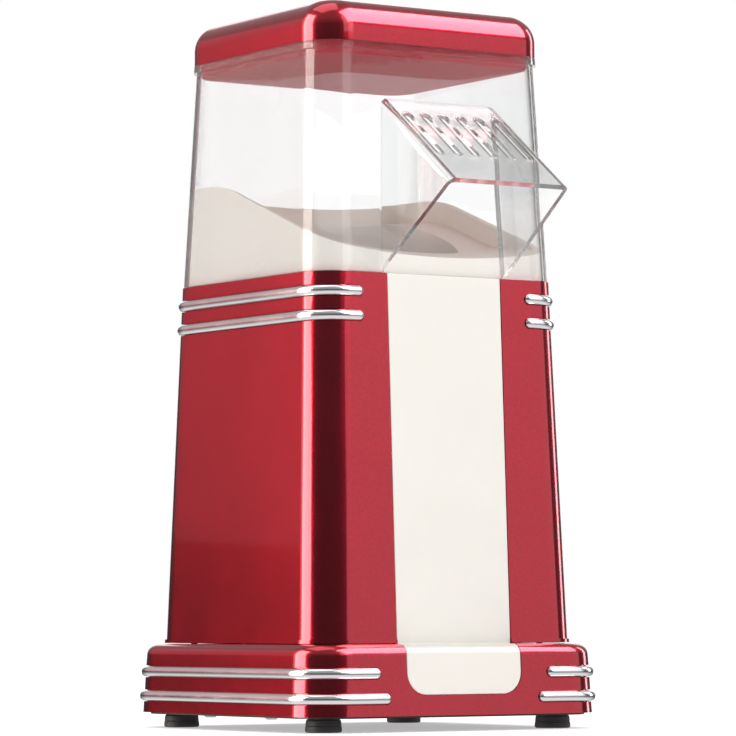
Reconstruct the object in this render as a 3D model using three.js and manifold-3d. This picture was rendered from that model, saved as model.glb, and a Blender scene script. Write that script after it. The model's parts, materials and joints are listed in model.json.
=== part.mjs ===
// A retro hot-air popcorn maker: a tapered red tower on a wider plinth, with a clear cover and
// spout over a cream chute, a lid on top, and a blower, heater and popping chamber inside.
// Millimetres, +Z up, the front faces -Y. The origin is under the middle of the outer box.
import * as THREE from "three";
import { mergeVertices } from "three/addons/utils/BufferGeometryUtils.js";
import Module from "manifold-3d";

const wasm = await Module();
wasm.setup();

// ---------- clearances ----------
const seatGap = 0.3; // between two parts that rest on each other
const liftGap = 0.5; // sideways room round a part that is lifted off by hand
const bearingGap = 0.1; // radial room of a turning shaft or pin
const past = 2; // how far a cutting tool runs past the surface it opens

// ---------- body shell ----------
const bodyHeight = 151.1;
const bodyHalfX = 60.3; // at the top edge
const bodyHalfY = 59.9;
const bodySpreadX = 4.9; // how much wider each side is at the bottom
const bodySpreadY = 6.3;
const bodyCorner = 15.7;
const bodyWall = 3;
const bodyEdgeBreak = 0.6;
const beadHeight = 1.5;
const beadDepth = 0.8;
const flangeThickness = 3;
const flangeCorner = 5; // corner radius of the square opening through the flange and the plinth

// ---------- plinth ----------
const plinthHeight = 28.9;
const ledgeX = 6.1; // how far the plinth's top stands out past the body
const ledgeY = 6.8;
const plinthSpread = 1.5;
const plinthCorner = 18;
const plinthEdge = 4.5;
const plinthWall = 3;

// ---------- front panel ----------
const panelHalf = 28.1;
const panelDepth = 1.6;
const panelFootRise = 8.5; // height of its lower end above the plinth's lower edge
const panelCorner = 9;
const panelLip = 3;

// ---------- trim bars ----------
const trimHeight = 4.4;
const trimRise = 2;
const trimSink = 0.9;
const plinthTrimRises = [7.05, 17.24]; // centres above the plinth's lower edge
const plinthTrimStarts = [8.5, 13.1]; // from the panel's side to the bar's end
const bodyTrimDrops = [7.9, 18]; // centres below the body's top edge
const bodyTrimStart = 12.3;

// ---------- bottom cover, feet and screws ----------
const footHeight = 5.4;
const footRadius = 7.5;
const footStemRadius = 3;
const footInsetX = 15.8; // from the plinth's lower edge
const footInsetY = 18.8;
const coverReveal = 0.8; // how far the bottom cover shows below the plinth
const bottomThickness = 2.2;
const intakeSlots = 9;
const intakeWidth = 3;
const intakePitch = 6;
const intakeHalfLength = 27;
const screwRadius = 1.4;
const screwHeadRadius = 3;
const screwHeadHeight = 1.7;
const screwLength = 12;
const bossRadius = 4;
const bossHoleDepth = 14;
const baseScrewInset = 8; // from the plinth's inner wall to a base screw's axis
const baseScrewSide = 24;

// ---------- clear cover and spout ----------
const coverHeight = 94.6;
const coverTaperX = 4.3;
const coverTaperY = 4.9;
const coverWall = 2;
const spoutRise = 72; // the hood's upper end above the cover's lower edge
const spoutReach = 51.4;
const spoutDrop = 37.7;
const spoutHalf = 29.2; // half width at the hood's upper end
const spoutFlare = 0.038; // widening per mm downwards
const spoutNarrowing = 0.02; // narrowing per mm forwards
const hoodEdge = 3.5;
const hoodSlots = 6;
const hoodSlotPitch = 8.8;
const hoodSlotWidth = 4.4;
const hoodSlotStart = 10; // along the slope from the hood's upper end
const hoodSlotLength = 34;

// ---------- lid ----------
const lidHeight = 18;
const lidOverhang = 1.2;
const lidEdge = 9;
const lidWall = 2.4;
const lidPlugDepth = 4.7;
const lidFlange = 2;

// ---------- chute ----------
const chuteBackRise = 42.7; // top edge above the body's top, at the back and at the front
const chuteFrontRise = 12.7;
const chuteKneeY = 22.5; // where the level back part of the edge turns down
const chuteKneeBlend = 12;
const chuteDip = 5; // how much lower the edge and deck are on the middle line
const chuteDeckDrop = 9; // the deck below the rim at the back
const chuteDeckRun = 45; // distance from the front over which the deck reaches that depth
const chuteWall = 2.5;
const chuteDeckThickness = 3;
const chuteSkirt = 10.5;
const chuteLedge = 2.2;
const throatRise = 3.2; // the throat's lower end above the body's top

// ---------- air path, from the throat down ----------
const ductSideGap = 5.8; // between the duct and the body's inner walls
const ductWall = 1.5;
const hotAirGap = 10; // between the duct and the popping chamber
const chamberWall = 1;
const chamberHeight = 69.7;
const chamberFlange = 6;
const chamberLouvres = 12;
const louvreWidth = 1.6;
const louvreHeight = 13;
const louvreRise = 5;
const louvreTilt = 0.35;
const collarHeight = 3.5;
const collarGap = 0.6;
const coilGap = 2.5; // air between the coil and the chamber's floor
const coilWire = 2;
const coilTurns = 2.5;
const coilInner = 17;
const heaterFrameHeight = 9;
const heaterPlate = 1.4;
const blowerHeight = 24;
const blowerPlate = 2.5;
const blowerOutlet = 14; // width of the rim that carries the heater frame
const earRadius = 5.5;
const earOffset = 6;
const postRadius = 4.5;

// ---------- fan and motor ----------
const impellerInset = 12; // between the impeller and the blower's outer wall
const impellerHeight = 12;
const impellerBlades = 9;
const impellerHub = 6;
const bladeThickness = 1.2;
const shaftRadius = 2.5;
const motorRadius = 18;
const motorLength = 38;
const motorWall = 1.2;
const motorCapHeight = 6;
const mountRadius = 23;
const mountThickness = 2;
const armatureInset = 2.2;
const armatureSlots = 5;
const armatureSlotRadius = 2.2;
const boardThickness = 1.6;
const boardDrop = 5;

// ---------- rear fittings ----------
const rearFittingX = 26;
const switchHalfX = 7.4;
const switchHalfZ = 11.4;
const switchBezel = 1.8;
const switchLap = 1.3; // how far the bezel laps over the wall
const switchDepth = 17;
const rockerHalfX = 4.9;
const rockerHalfZ = 7.9;
const rockerTilt = THREE.MathUtils.degToRad(8);
const rockerPin = 1;
const glandRise = 20;
const glandRadius = 7.5;
const glandBore = 3.6;
const glandTube = 5.2;
const glandFlange = 2;
const sensorRadius = 7;
const sensorHeight = 5;
const sensorDrop = 30;
const fuseRadius = 2.2;
const fuseLength = 22;
const fuseDrop = 35; // its middle below the duct's upper end
const fuseAngle = Math.PI / 8;
const wireRadius = 1.1;

// ---------- fineness of the round shapes ----------
const cornerSteps = 4;
const edgeSteps = 3;
const trimSteps = 4;
const roundSteps = 28;
const smallSteps = 10;
const deckSteps = 10;
const coilSteps = 40;

// ---------- outlines: rounded rectangles seen from above ----------
function outline(halfX, halfY, radius) {
  return { halfX, halfY, radius };
}

function grow(shape, x, y = x) {
  return outline(shape.halfX + x, shape.halfY + y, Math.max(1, shape.radius + Math.min(x, y)));
}

function between(low, high, share) {
  return outline(
    THREE.MathUtils.lerp(low.halfX, high.halfX, share),
    THREE.MathUtils.lerp(low.halfY, high.halfY, share),
    THREE.MathUtils.lerp(low.radius, high.radius, share),
  );
}

// The outline's half depth at a distance x from its middle line
function depthAt(shape, x) {
  const turn = Math.max(0, Math.abs(x) - (shape.halfX - shape.radius));
  return shape.halfY - shape.radius + Math.sqrt(shape.radius ** 2 - turn ** 2);
}

// ---------- levels and outlines that the parts share ----------
const bottomUnder = footHeight + seatGap;
const bottomTop = bottomUnder + bottomThickness;
const plinthLow = bottomUnder + coverReveal;
const plinthTop = plinthLow + plinthHeight;
const bodyLow = plinthTop + seatGap;
const bodyTop = bodyLow + bodyHeight;
const coverLow = bodyTop + seatGap;
const coverTop = coverLow + coverHeight;
const lidLow = coverTop + seatGap;
const lidTop = lidLow + lidHeight;

const bodyTopOutline = outline(bodyHalfX, bodyHalfY, bodyCorner);
const bodyLowOutline = outline(bodyHalfX + bodySpreadX, bodyHalfY + bodySpreadY, bodyCorner);
const plinthTopOutline = outline(
  bodyLowOutline.halfX + ledgeX,
  bodyLowOutline.halfY + ledgeY,
  plinthCorner,
);
const plinthLowOutline = outline(
  plinthTopOutline.halfX + plinthSpread,
  plinthTopOutline.halfY + plinthSpread,
  plinthCorner,
);
const coverTopOutline = outline(bodyHalfX - coverTaperX, bodyHalfY - coverTaperY, bodyCorner - 1.2);
const lidOutline = grow(coverTopOutline, lidOverhang);

const bodyOutlineAt = (z) => between(bodyLowOutline, bodyTopOutline, (z - bodyLow) / bodyHeight);
const plinthOutlineAt = (z) => between(plinthLowOutline, plinthTopOutline, (z - plinthLow) / plinthHeight);
const coverOutlineAt = (z) => between(bodyTopOutline, coverTopOutline, (z - coverLow) / coverHeight);

const ductRadius = Math.min(bodyHalfX, bodyHalfY) - bodyWall - ductSideGap + 0.4;
const chamberRadius = ductRadius - ductWall - hotAirGap;
const chamberBore = chamberRadius - chamberWall;
const throatLow = bodyTop + throatRise;
const chamberTop = throatLow - seatGap;
const chamberLow = chamberTop - chamberHeight;
const collarTop = chamberTop - chamberWall - seatGap;
const ductTop = collarTop - collarHeight - seatGap;
const coilZ = chamberLow - coilGap - coilWire;
const frameTop = coilZ - coilWire - seatGap;
const frameLow = frameTop - heaterFrameHeight;
const blowerTop = frameLow - seatGap;
const blowerLow = blowerTop - blowerHeight;
const ductLow = blowerTop + seatGap;
const mountTop = blowerLow - seatGap;
const motorTop = mountTop - mountThickness - seatGap;
const motorLow = motorTop - motorLength;
const boardTop = motorLow - motorCapHeight - boardDrop;
const postCentre = (ductRadius + earOffset) * Math.SQRT1_2;
const flangeHalf = postCentre + postRadius + 2;
const footX = plinthLowOutline.halfX - footInsetX;
const footY = plinthLowOutline.halfY - footInsetY;
const baseScrewX = plinthLowOutline.halfX - plinthWall - baseScrewInset;
const bodyScrewX = bodyLowOutline.halfX - bodyWall - bossRadius - 6;
const bodyScrewY = bodyLowOutline.halfY - bodyWall - bossRadius - 6;
const diagonals = [[-1, -1], [1, -1], [1, 1], [-1, 1]];

// ---------- solids ----------
// Turns a closed geometry into a solid, with its faces pointing out.
function solid(geometry) {
  const bare = geometry.clone();
  bare.deleteAttribute("normal");
  bare.deleteAttribute("uv");
  const welded = mergeVertices(bare);
  const places = welded.attributes.position.array;
  const corners = welded.index.array;
  const triangles = [];
  let volume = 0;
  for (let i = 0; i < corners.length; i += 3) {
    const [a, b, c] = [corners[i], corners[i + 1], corners[i + 2]];
    if (a === b || b === c || c === a) continue;
    triangles.push([a, b, c]);
    const [p, q, r] = [a, b, c].map((corner) => new THREE.Vector3().fromArray(places, corner * 3));
    volume += p.dot(q.cross(r));
  }
  const outward = volume > 0 ? triangles : triangles.map(([a, b, c]) => [a, c, b]);
  return new wasm.Manifold(
    new wasm.Mesh({
      numProp: 3,
      vertProperties: new Float32Array(places),
      triVerts: new Uint32Array(outward.flat()),
    }),
  );
}

const join = (...solids) => solids.reduce((whole, piece) => whole.add(piece));
const cut = (whole, ...tools) => tools.reduce((rest, tool) => rest.subtract(tool), whole);
const common = (first, second) => first.intersect(second);

function ringPoints({ halfX, halfY, radius }) {
  const points = [];
  diagonals.forEach(([x, y], corner) => {
    for (let step = 0; step <= cornerSteps; step++) {
      const angle = (corner + 2 + step / cornerSteps) * Math.PI / 2;
      points.push([
        x * (halfX - radius) + radius * Math.cos(angle),
        y * (halfY - radius) + radius * Math.sin(angle),
      ]);
    }
  });
  return points;
}

// A solid through rounded rectangles, each { z, halfX, halfY, radius }, from the lowest up.
function stack(levels) {
  const places = [];
  const index = [];
  const rings = levels.map((level) => ringPoints(level));
  const count = rings[0].length;
  rings.forEach((ring, level) => ring.forEach(([x, y]) => places.push(x, y, levels[level].z)));
  for (let level = 0; level + 1 < levels.length; level++) {
    for (let i = 0; i < count; i++) {
      const a = level * count + i;
      const b = level * count + (i + 1) % count;
      index.push(a, b, b + count, a, b + count, a + count);
    }
  }
  const low = places.push(0, 0, levels[0].z) / 3 - 1;
  const high = places.push(0, 0, levels.at(-1).z) / 3 - 1;
  const last = (levels.length - 1) * count;
  for (let i = 0; i < count; i++) {
    const next = (i + 1) % count;
    index.push(low, next, i, high, last + i, last + next);
  }
  const geometry = new THREE.BufferGeometry();
  geometry.setAttribute("position", new THREE.Float32BufferAttribute(places, 3));
  geometry.setIndex(index);
  return solid(geometry);
}

function block(x0, x1, y0, y1, z0, z1) {
  const geometry = new THREE.BoxGeometry(x1 - x0, y1 - y0, z1 - z0);
  return solid(geometry.translate((x0 + x1) / 2, (y0 + y1) / 2, (z0 + z1) / 2));
}

function rod(radius, z0, z1, x = 0, y = 0, steps = roundSteps) {
  const geometry = new THREE.CylinderGeometry(radius, radius, z1 - z0, steps).rotateX(Math.PI / 2);
  return solid(geometry.translate(x, y, (z0 + z1) / 2));
}

// A body of revolution about Z from [radius, height] pairs.
function turned(profile, steps = roundSteps) {
  const points = profile.map(([radius, z]) => new THREE.Vector2(radius, z));
  return new THREE.LatheGeometry(points, steps).rotateX(Math.PI / 2);
}

// Extrudes a flat shape drawn with its first axis along `first` and its second along `second`.
function slab(shape, first, second, depth, offset, curveSegments = 6) {
  const geometry = new THREE.ExtrudeGeometry(shape, { depth, bevelEnabled: false, curveSegments });
  const third = new THREE.Vector3().crossVectors(first, second);
  const frame = new THREE.Matrix4().makeBasis(first, second, third);
  return geometry.applyMatrix4(frame.setPosition(offset));
}

function polygon(points) {
  return new THREE.Shape(points.map(([a, b]) => new THREE.Vector2(a, b)));
}

const axisX = new THREE.Vector3(1, 0, 0);
const axisY = new THREE.Vector3(0, 1, 0);
const axisZ = new THREE.Vector3(0, 0, 1);

// ---------- front panel and its recess ----------
// The panel's front view, drawn forwards from inside the shells.
function panelColumn(extra) {
  const half = panelHalf + extra;
  const low = plinthLow + panelFootRise - extra;
  const corner = panelCorner + extra;
  const shape = new THREE.Shape();
  shape.moveTo(half, bodyTop + past * Math.sign(extra));
  shape.lineTo(-half, bodyTop + past * Math.sign(extra));
  shape.absarc(-half + corner, low + corner, corner, Math.PI, Math.PI * 1.5, false);
  shape.absarc(half - corner, low + corner, corner, Math.PI * 1.5, Math.PI * 2, false);
  const start = new THREE.Vector3(0, -bodyHalfY + bodyWall + past, 0);
  const depth = plinthLowOutline.halfY - bodyHalfY + bodyWall + past * 4;
  return solid(slab(shape, axisX, axisZ, depth, start, 8));
}

// Body and plinth as one envelope, pulled in by `inset` all round.
function shellEnvelope(inset) {
  const tower = stack([
    { z: plinthLow + plinthWall, ...grow(bodyLowOutline, -inset) },
    { z: bodyLow, ...grow(bodyLowOutline, -inset) },
    { z: bodyTop + past, ...grow(bodyOutlineAt(bodyTop + past), -inset) },
  ]);
  return join(tower, plinthSolid(inset));
}

function panelTopLip(height, inset) {
  return cut(
    block(-bodyHalfX, bodyHalfX, -plinthTopOutline.halfY, 0, bodyTop - height, bodyTop + past),
    stack([
      { z: bodyTop - height - past, ...grow(bodyOutlineAt(bodyTop - height - past), -inset) },
      { z: bodyTop + past * 2, ...grow(bodyOutlineAt(bodyTop + past * 2), -inset) },
    ]),
  );
}

function panelRecess() {
  const behind = shellEnvelope(panelDepth + seatGap);
  const face = cut(panelColumn(seatGap), behind);
  return join(face, common(panelColumn(seatGap), panelTopLip(panelLip + seatGap, bodyWall + past)));
}

function frontPanel() {
  const envelope = shellEnvelope(0);
  const face = cut(panelColumn(0), shellEnvelope(panelDepth));
  const lip = common(panelColumn(0), panelTopLip(panelLip, bodyWall));
  return common(join(face, lip), envelope);
}

// ---------- trim bars ----------
// The part of a band on one side, from its end near the panel to its end at the back.
function sideOf(band, wall, z, endX, side, radius) {
  const reach = wall.halfY + past * 4;
  const far = wall.halfX + past * 4;
  const run = block(Math.min(side * endX, side * far), Math.max(side * endX, side * far),
    -reach, reach, z - trimHeight, z + trimHeight);
  if (!radius) return common(band, run);
  const round = new THREE.CylinderGeometry(radius, radius, reach * 2, smallSteps);
  return common(band, join(run, solid(round.translate(side * endX, 0, z))));
}

function innerStack(wall, z, inset) {
  const half = trimHeight + past;
  return stack([{ z: z - half, ...grow(wall, -inset) }, { z: z + half, ...grow(wall, -inset) }]);
}

function trimBar(wall, z, startX, side) {
  const endX = startX + trimHeight / 2;
  const levels = [];
  for (let step = 0; step <= trimSteps; step++) {
    const angle = (step / trimSteps - 0.5) * Math.PI;
    const height = z + trimHeight / 2 * Math.sin(angle);
    levels.push({ z: height, ...grow(wall, trimRise * Math.cos(angle)) });
  }
  const run = sideOf(stack(levels), wall, z, endX, side, 0);
  const ends = [-1, 1].map((facing) => {
    const ball = new THREE.SphereGeometry(1, smallSteps, smallSteps / 2);
    ball.scale(trimHeight / 2, trimRise, trimHeight / 2);
    return solid(ball.translate(side * endX, facing * depthAt(wall, endX), z));
  });
  return cut(join(run, ...ends), innerStack(wall, z, trimSink));
}

function trimGroove(wall, z, startX, side) {
  const half = trimHeight / 2 + seatGap;
  const band = stack([{ z: z - half, ...grow(wall, past) }, { z: z + half, ...grow(wall, past) }]);
  const endX = startX + trimHeight / 2;
  return cut(sideOf(band, wall, z, endX, side, half), innerStack(wall, z, trimSink + seatGap));
}

// Every trim bar: its name, the wall's outline behind it, its height, its end and its side.
function trimPlaces() {
  const rows = [];
  plinthTrimRises.forEach((rise, i) => {
    const z = plinthLow + rise;
    const row = ["plinth_trim_lower", "plinth_trim_upper"][i];
    rows.push({ row, z, wall: plinthOutlineAt(z), start: plinthTrimStarts[i] });
  });
  bodyTrimDrops.forEach((drop, i) => {
    const z = bodyTop - drop;
    const row = ["body_trim_upper", "body_trim_lower"][i];
    rows.push({ row, z, wall: bodyOutlineAt(z), start: bodyTrimStart });
  });
  return rows.flatMap(({ row, z, wall, start }) => [[-1, "left"], [1, "right"]].map(([side, word]) => (
    { name: `${row}_${word}`, z, wall, startX: panelHalf + start, side }
  )));
}

function groovesOf(prefix) {
  const own = trimPlaces().filter((place) => place.name.startsWith(prefix));
  return own.map((place) => trimGroove(place.wall, place.z, place.startX, place.side));
}

// ---------- plinth, body and bottom ----------
function plinthSolid(inset) {
  const levels = [{ z: plinthLow - (inset ? past : 0), ...grow(plinthLowOutline, -inset) }];
  const edge = plinthEdge - Math.min(inset, plinthEdge - 1);
  const top = plinthTop - inset;
  for (let step = 0; step <= edgeSteps; step++) {
    const angle = step / edgeSteps * Math.PI / 2;
    const rise = top - edge + edge * Math.sin(angle);
    const pull = edge * (1 - Math.cos(angle));
    levels.push({ z: rise, ...grow(plinthOutlineAt(rise), -inset - pull) });
  }
  return stack(levels);
}

function plinth() {
  const opening = outline(flangeHalf, flangeHalf, flangeCorner);
  let shell = cut(
    plinthSolid(0),
    plinthSolid(plinthWall),
    stack([{ z: plinthLow, ...opening }, { z: plinthTop + past, ...opening }]),
    panelRecess(),
    ...groovesOf("plinth"),
  );
  for (const [x, y] of diagonals) {
    const [bossX, bossY] = [x * baseScrewX, y * baseScrewSide];
    const bossTop = plinthTop - plinthWall + 1;
    shell = join(shell, rod(bossRadius, bottomTop + seatGap, bossTop, bossX, bossY, smallSteps));
    shell = cut(
      shell,
      rod(screwRadius + seatGap, plinthLow, bottomTop + bossHoleDepth, bossX, bossY, smallSteps),
      rod(screwRadius + seatGap, plinthLow, plinthTop + past, x * bodyScrewX, y * bodyScrewY, smallSteps),
    );
  }
  return shell;
}

function bodyCavity() {
  const ledgeTop = bodyTop - chuteSkirt - seatGap;
  const ledgeLow = ledgeTop - chuteLedge;
  const wallAt = (z, extra = 0) => ({ z, ...grow(bodyOutlineAt(z), -bodyWall - extra) });
  return stack([
    wallAt(bodyLow + flangeThickness),
    wallAt(ledgeLow - chuteLedge),
    wallAt(ledgeLow, chuteLedge),
    wallAt(ledgeTop, chuteLedge),
    wallAt(ledgeTop),
    wallAt(bodyTop + past),
  ]);
}

function bodyShell() {
  const outer = stack([
    { z: bodyLow, ...grow(bodyLowOutline, beadDepth) },
    { z: bodyLow + beadHeight - beadDepth / 2, ...grow(bodyLowOutline, beadDepth) },
    { z: bodyLow + beadHeight, ...bodyOutlineAt(bodyLow + beadHeight) },
    { z: bodyTop - bodyEdgeBreak, ...bodyOutlineAt(bodyTop - bodyEdgeBreak) },
    { z: bodyTop, ...grow(bodyTopOutline, -bodyEdgeBreak) },
  ]);
  const opening = outline(flangeHalf, flangeHalf, flangeCorner);
  let shell = cut(
    outer,
    bodyCavity(),
    stack([{ z: bodyLow - past, ...opening }, { z: bodyLow + flangeThickness + past, ...opening }]),
    panelRecess(),
    ...groovesOf("body"),
    switchWindow(),
    rearRod(glandTube + seatGap, -bodyWall * 3, bodyWall * 2, glandPlace),
  );
  for (const [x, y] of diagonals) {
    const [bossX, bossY] = [x * bodyScrewX, y * bodyScrewY];
    const bossTop = bodyLow + flangeThickness + screwLength;
    shell = join(shell, rod(bossRadius, bodyLow + 1, bossTop, bossX, bossY, smallSteps));
    shell = cut(shell, rod(screwRadius + seatGap, bodyLow - past, bossTop - 2, bossX, bossY, smallSteps));
  }
  return shell;
}

function bottomCover() {
  const rim = grow(plinthLowOutline, -plinthWall - seatGap);
  let cover = stack([{ z: bottomUnder, ...rim }, { z: bottomTop, ...rim }]);
  for (const [x, y] of diagonals) {
    const [screwX, screwY] = [x * baseScrewX, y * baseScrewSide];
    const [postX, postY] = [x * postCentre, y * postCentre];
    const postTop = blowerLow - seatGap;
    cover = join(cover, rod(postRadius, bottomTop - 1, postTop, postX, postY, smallSteps));
    cover = cut(
      cover,
      rod(screwRadius + seatGap, postTop - bossHoleDepth, postTop + past, postX, postY, smallSteps),
      rod(screwRadius + seatGap, bottomUnder - past, bottomTop + past, screwX, screwY, smallSteps),
      rod(screwHeadRadius + seatGap, bottomUnder - past, bottomUnder + 1, screwX, screwY, smallSteps),
      rod(footStemRadius + seatGap, bottomUnder - past, bottomTop + past, x * footX, y * footY, smallSteps),
    );
  }
  for (let i = 0; i < intakeSlots; i++) {
    const x = (i - (intakeSlots - 1) / 2) * intakePitch;
    cover = cut(cover, block(x - intakeWidth / 2, x + intakeWidth / 2, -intakeHalfLength, intakeHalfLength,
      bottomUnder - past, bottomTop + past));
  }
  return cover;
}

function foot() {
  const headRadius = footStemRadius + 1;
  const headLow = bottomTop + seatGap;
  return turned([
    [0, 0],
    [footRadius - 0.6, 0],
    [footRadius, 0.6],
    [footRadius - 0.3, footHeight - 0.4],
    [footRadius - 0.7, footHeight],
    [footStemRadius, footHeight],
    [footStemRadius, headLow],
    [headRadius, headLow],
    [footStemRadius, headLow + 1.5],
    [0, headLow + 1.5],
  ], smallSteps * 2);
}

// A pan-head screw with its seat at z = 0 and its shank pointing up.
function screw() {
  return turned([
    [0, -screwHeadHeight],
    [screwHeadRadius * 0.7, -screwHeadHeight],
    [screwHeadRadius, -screwHeadHeight * 0.5],
    [screwHeadRadius, 0],
    [screwRadius, 0],
    [screwRadius, screwLength - 1],
    [0, screwLength],
  ], smallSteps);
}

// ---------- clear cover and spout ----------
const hoodStartY = -coverOutlineAt(coverLow + spoutRise).halfY;
const hoodStartZ = coverLow + spoutRise;
const hoodLength = Math.hypot(spoutReach, spoutDrop);
const hoodDown = new THREE.Vector3(0, -spoutReach / hoodLength, -spoutDrop / hoodLength);
const hoodOut = new THREE.Vector3(0, -spoutDrop / hoodLength, spoutReach / hoodLength);
const hoodPoint = (along, out = 0) => new THREE.Vector3(0, hoodStartY, hoodStartZ)
  .addScaledVector(hoodDown, along).addScaledVector(hoodOut, out);

// A round-shouldered tunnel under the hood, from `start` to `end` along its slope.
function hoodTunnel(inset, start, end) {
  const half = spoutHalf - inset;
  const corner = Math.max(1, hoodEdge - inset);
  const depth = spoutRise + spoutReach;
  const shape = new THREE.Shape();
  shape.moveTo(-half, -depth);
  shape.lineTo(half, -depth);
  shape.absarc(half - corner, -inset - corner, corner, 0, Math.PI / 2, false);
  shape.absarc(-half + corner, -inset - corner, corner, Math.PI / 2, Math.PI, false);
  const geometry = slab(shape, axisX, hoodOut, end - start, hoodPoint(start), edgeSteps);
  const places = geometry.attributes.position;
  for (let i = 0; i < places.count; i++) {
    const wider = spoutFlare * (hoodStartZ - places.getZ(i));
    const narrower = spoutNarrowing * (hoodStartY - places.getY(i));
    places.setX(i, places.getX(i) * (1 + (wider - narrower) / spoutHalf));
  }
  return solid(geometry);
}

// Cheeks and hood, cut off along the line from the lip back to the cover's lower edge.
function spoutOutside() {
  const lip = hoodPoint(hoodLength);
  const heel = new THREE.Vector3(0, -coverOutlineAt(coverLow).halfY, coverLow);
  const beyond = lip.clone().lerp(heel, -0.5);
  const rootY = heel.y + coverWall / 2;
  const side = polygon([
    [heel.y, heel.z],
    [beyond.y, beyond.z],
    [beyond.y, hoodStartZ + hoodEdge + past],
    [hoodStartY + coverWall / 2, hoodStartZ + hoodEdge + past],
    [hoodStartY + coverWall / 2, hoodStartZ],
    [rootY, heel.z],
  ]);
  const width = bodyHalfX * 2;
  const wedge = solid(slab(side, axisY, axisZ, width, new THREE.Vector3(-width / 2, 0, 0)));
  return common(hoodTunnel(0, -past, hoodLength + past), wedge);
}

function hoodSlot(x) {
  const radius = hoodSlotWidth / 2;
  const shape = new THREE.Shape();
  shape.absarc(x, hoodSlotStart + radius, radius, Math.PI, Math.PI * 2, false);
  shape.absarc(x, hoodSlotStart + hoodSlotLength - radius, radius, 0, Math.PI, false);
  return solid(slab(shape, axisX, hoodDown, coverWall * 4, hoodPoint(0, coverWall * 2), 5));
}

function clearCover() {
  const walls = stack([
    { z: coverLow, ...bodyTopOutline },
    { z: coverTop, ...coverTopOutline },
  ]);
  const inside = stack([
    { z: coverLow - past, ...grow(coverOutlineAt(coverLow - past), -coverWall) },
    { z: coverTop + past, ...grow(coverOutlineAt(coverTop + past), -coverWall) },
  ]);
  const slots = [];
  for (let i = 0; i < hoodSlots; i++) {
    slots.push(hoodSlot((i - (hoodSlots - 1) / 2) * hoodSlotPitch));
  }
  return cut(join(walls, spoutOutside()), inside, hoodTunnel(coverWall, -15, hoodLength * 1.5), ...slots);
}

// ---------- lid ----------
function lidCap() {
  const shell = (inset, low) => {
    const edge = Math.max(1, lidEdge - inset);
    const levels = [{ z: low, ...grow(lidOutline, -inset) }];
    for (let step = 0; step <= edgeSteps; step++) {
      const angle = step / edgeSteps * Math.PI / 2;
      const z = lidTop - inset - edge + edge * Math.sin(angle);
      levels.push({ z, ...grow(lidOutline, -inset - edge * (1 - Math.cos(angle))) });
    }
    return stack(levels);
  };
  return cut(shell(0, lidLow), shell(lidWall, lidLow - past));
}

function lidInsert() {
  const low = lidLow - seatGap - lidPlugDepth;
  const plug = grow(coverTopOutline, -coverWall - liftGap);
  const flange = grow(lidOutline, -lidWall - seatGap);
  const flangeLow = lidLow + seatGap;
  const outside = stack([
    { z: low, ...grow(plug, -1) },
    { z: low + 1, ...plug },
    { z: flangeLow, ...plug },
    { z: flangeLow, ...flange },
    { z: flangeLow + lidFlange, ...flange },
  ]);
  const hollow = grow(plug, -lidWall);
  return cut(outside, stack([{ z: low + lidWall, ...hollow }, { z: lidTop, ...hollow }]));
}

// ---------- chute ----------
// The chute's top edge: level at the back, bending down to a straight slope to the front.
function edgeHeight(y) {
  const frontY = -bodyHalfY + coverWall + liftGap;
  const fall = chuteBackRise - chuteFrontRise;
  const slope = fall / (chuteKneeY - frontY);
  const before = chuteKneeY + chuteKneeBlend - y;
  if (before <= 0) return bodyTop + chuteBackRise;
  if (before >= 2 * chuteKneeBlend) return bodyTop + chuteBackRise - slope * (chuteKneeY - y);
  return bodyTop + chuteBackRise - slope * before ** 2 / (4 * chuteKneeBlend);
}

const rimHeight = (x, y) => edgeHeight(y) - chuteDip * Math.max(0, 1 - (x / bodyHalfX) ** 2);

function deckHeight(x, y) {
  const start = -bodyHalfY + coverWall + liftGap;
  return rimHeight(x, y) - chuteDeckDrop * THREE.MathUtils.smoothstep(y, start, start + chuteDeckRun);
}

// Everything above a curved surface, as a block over the whole chute.
function above(height) {
  const steps = deckSteps;
  const [halfX, halfY] = [bodyHalfX + past, bodyHalfY + past];
  const top = bodyTop + chuteBackRise + past * 4;
  const places = [];
  const index = [];
  const width = steps + 1;
  for (const upper of [false, true]) {
    for (let row = 0; row <= steps; row++) {
      for (let column = 0; column <= steps; column++) {
        const x = (column / steps * 2 - 1) * halfX;
        const y = (row / steps * 2 - 1) * halfY;
        places.push(x, y, upper ? top : height(x, y));
      }
    }
  }
  const upperStart = width * width;
  const quad = (a, b, c, d) => index.push(a, b, c, a, c, d);
  for (let row = 0; row < steps; row++) {
    for (let column = 0; column < steps; column++) {
      const a = row * width + column;
      quad(a, a + width, a + width + 1, a + 1);
      quad(upperStart + a, upperStart + a + 1, upperStart + a + width + 1, upperStart + a + width);
    }
  }
  for (let i = 0; i < steps; i++) {
    const [front, back] = [i, steps * width + i];
    const [left, right] = [i * width, i * width + steps];
    quad(front, front + 1, upperStart + front + 1, upperStart + front);
    quad(back + 1, back, upperStart + back, upperStart + back + 1);
    quad(left + width, left, upperStart + left, upperStart + left + width);
    quad(right, right + width, upperStart + right + width, upperStart + right);
  }
  const geometry = new THREE.BufferGeometry();
  geometry.setAttribute("position", new THREE.Float32BufferAttribute(places, 3));
  geometry.setIndex(index);
  return solid(geometry);
}

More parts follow.
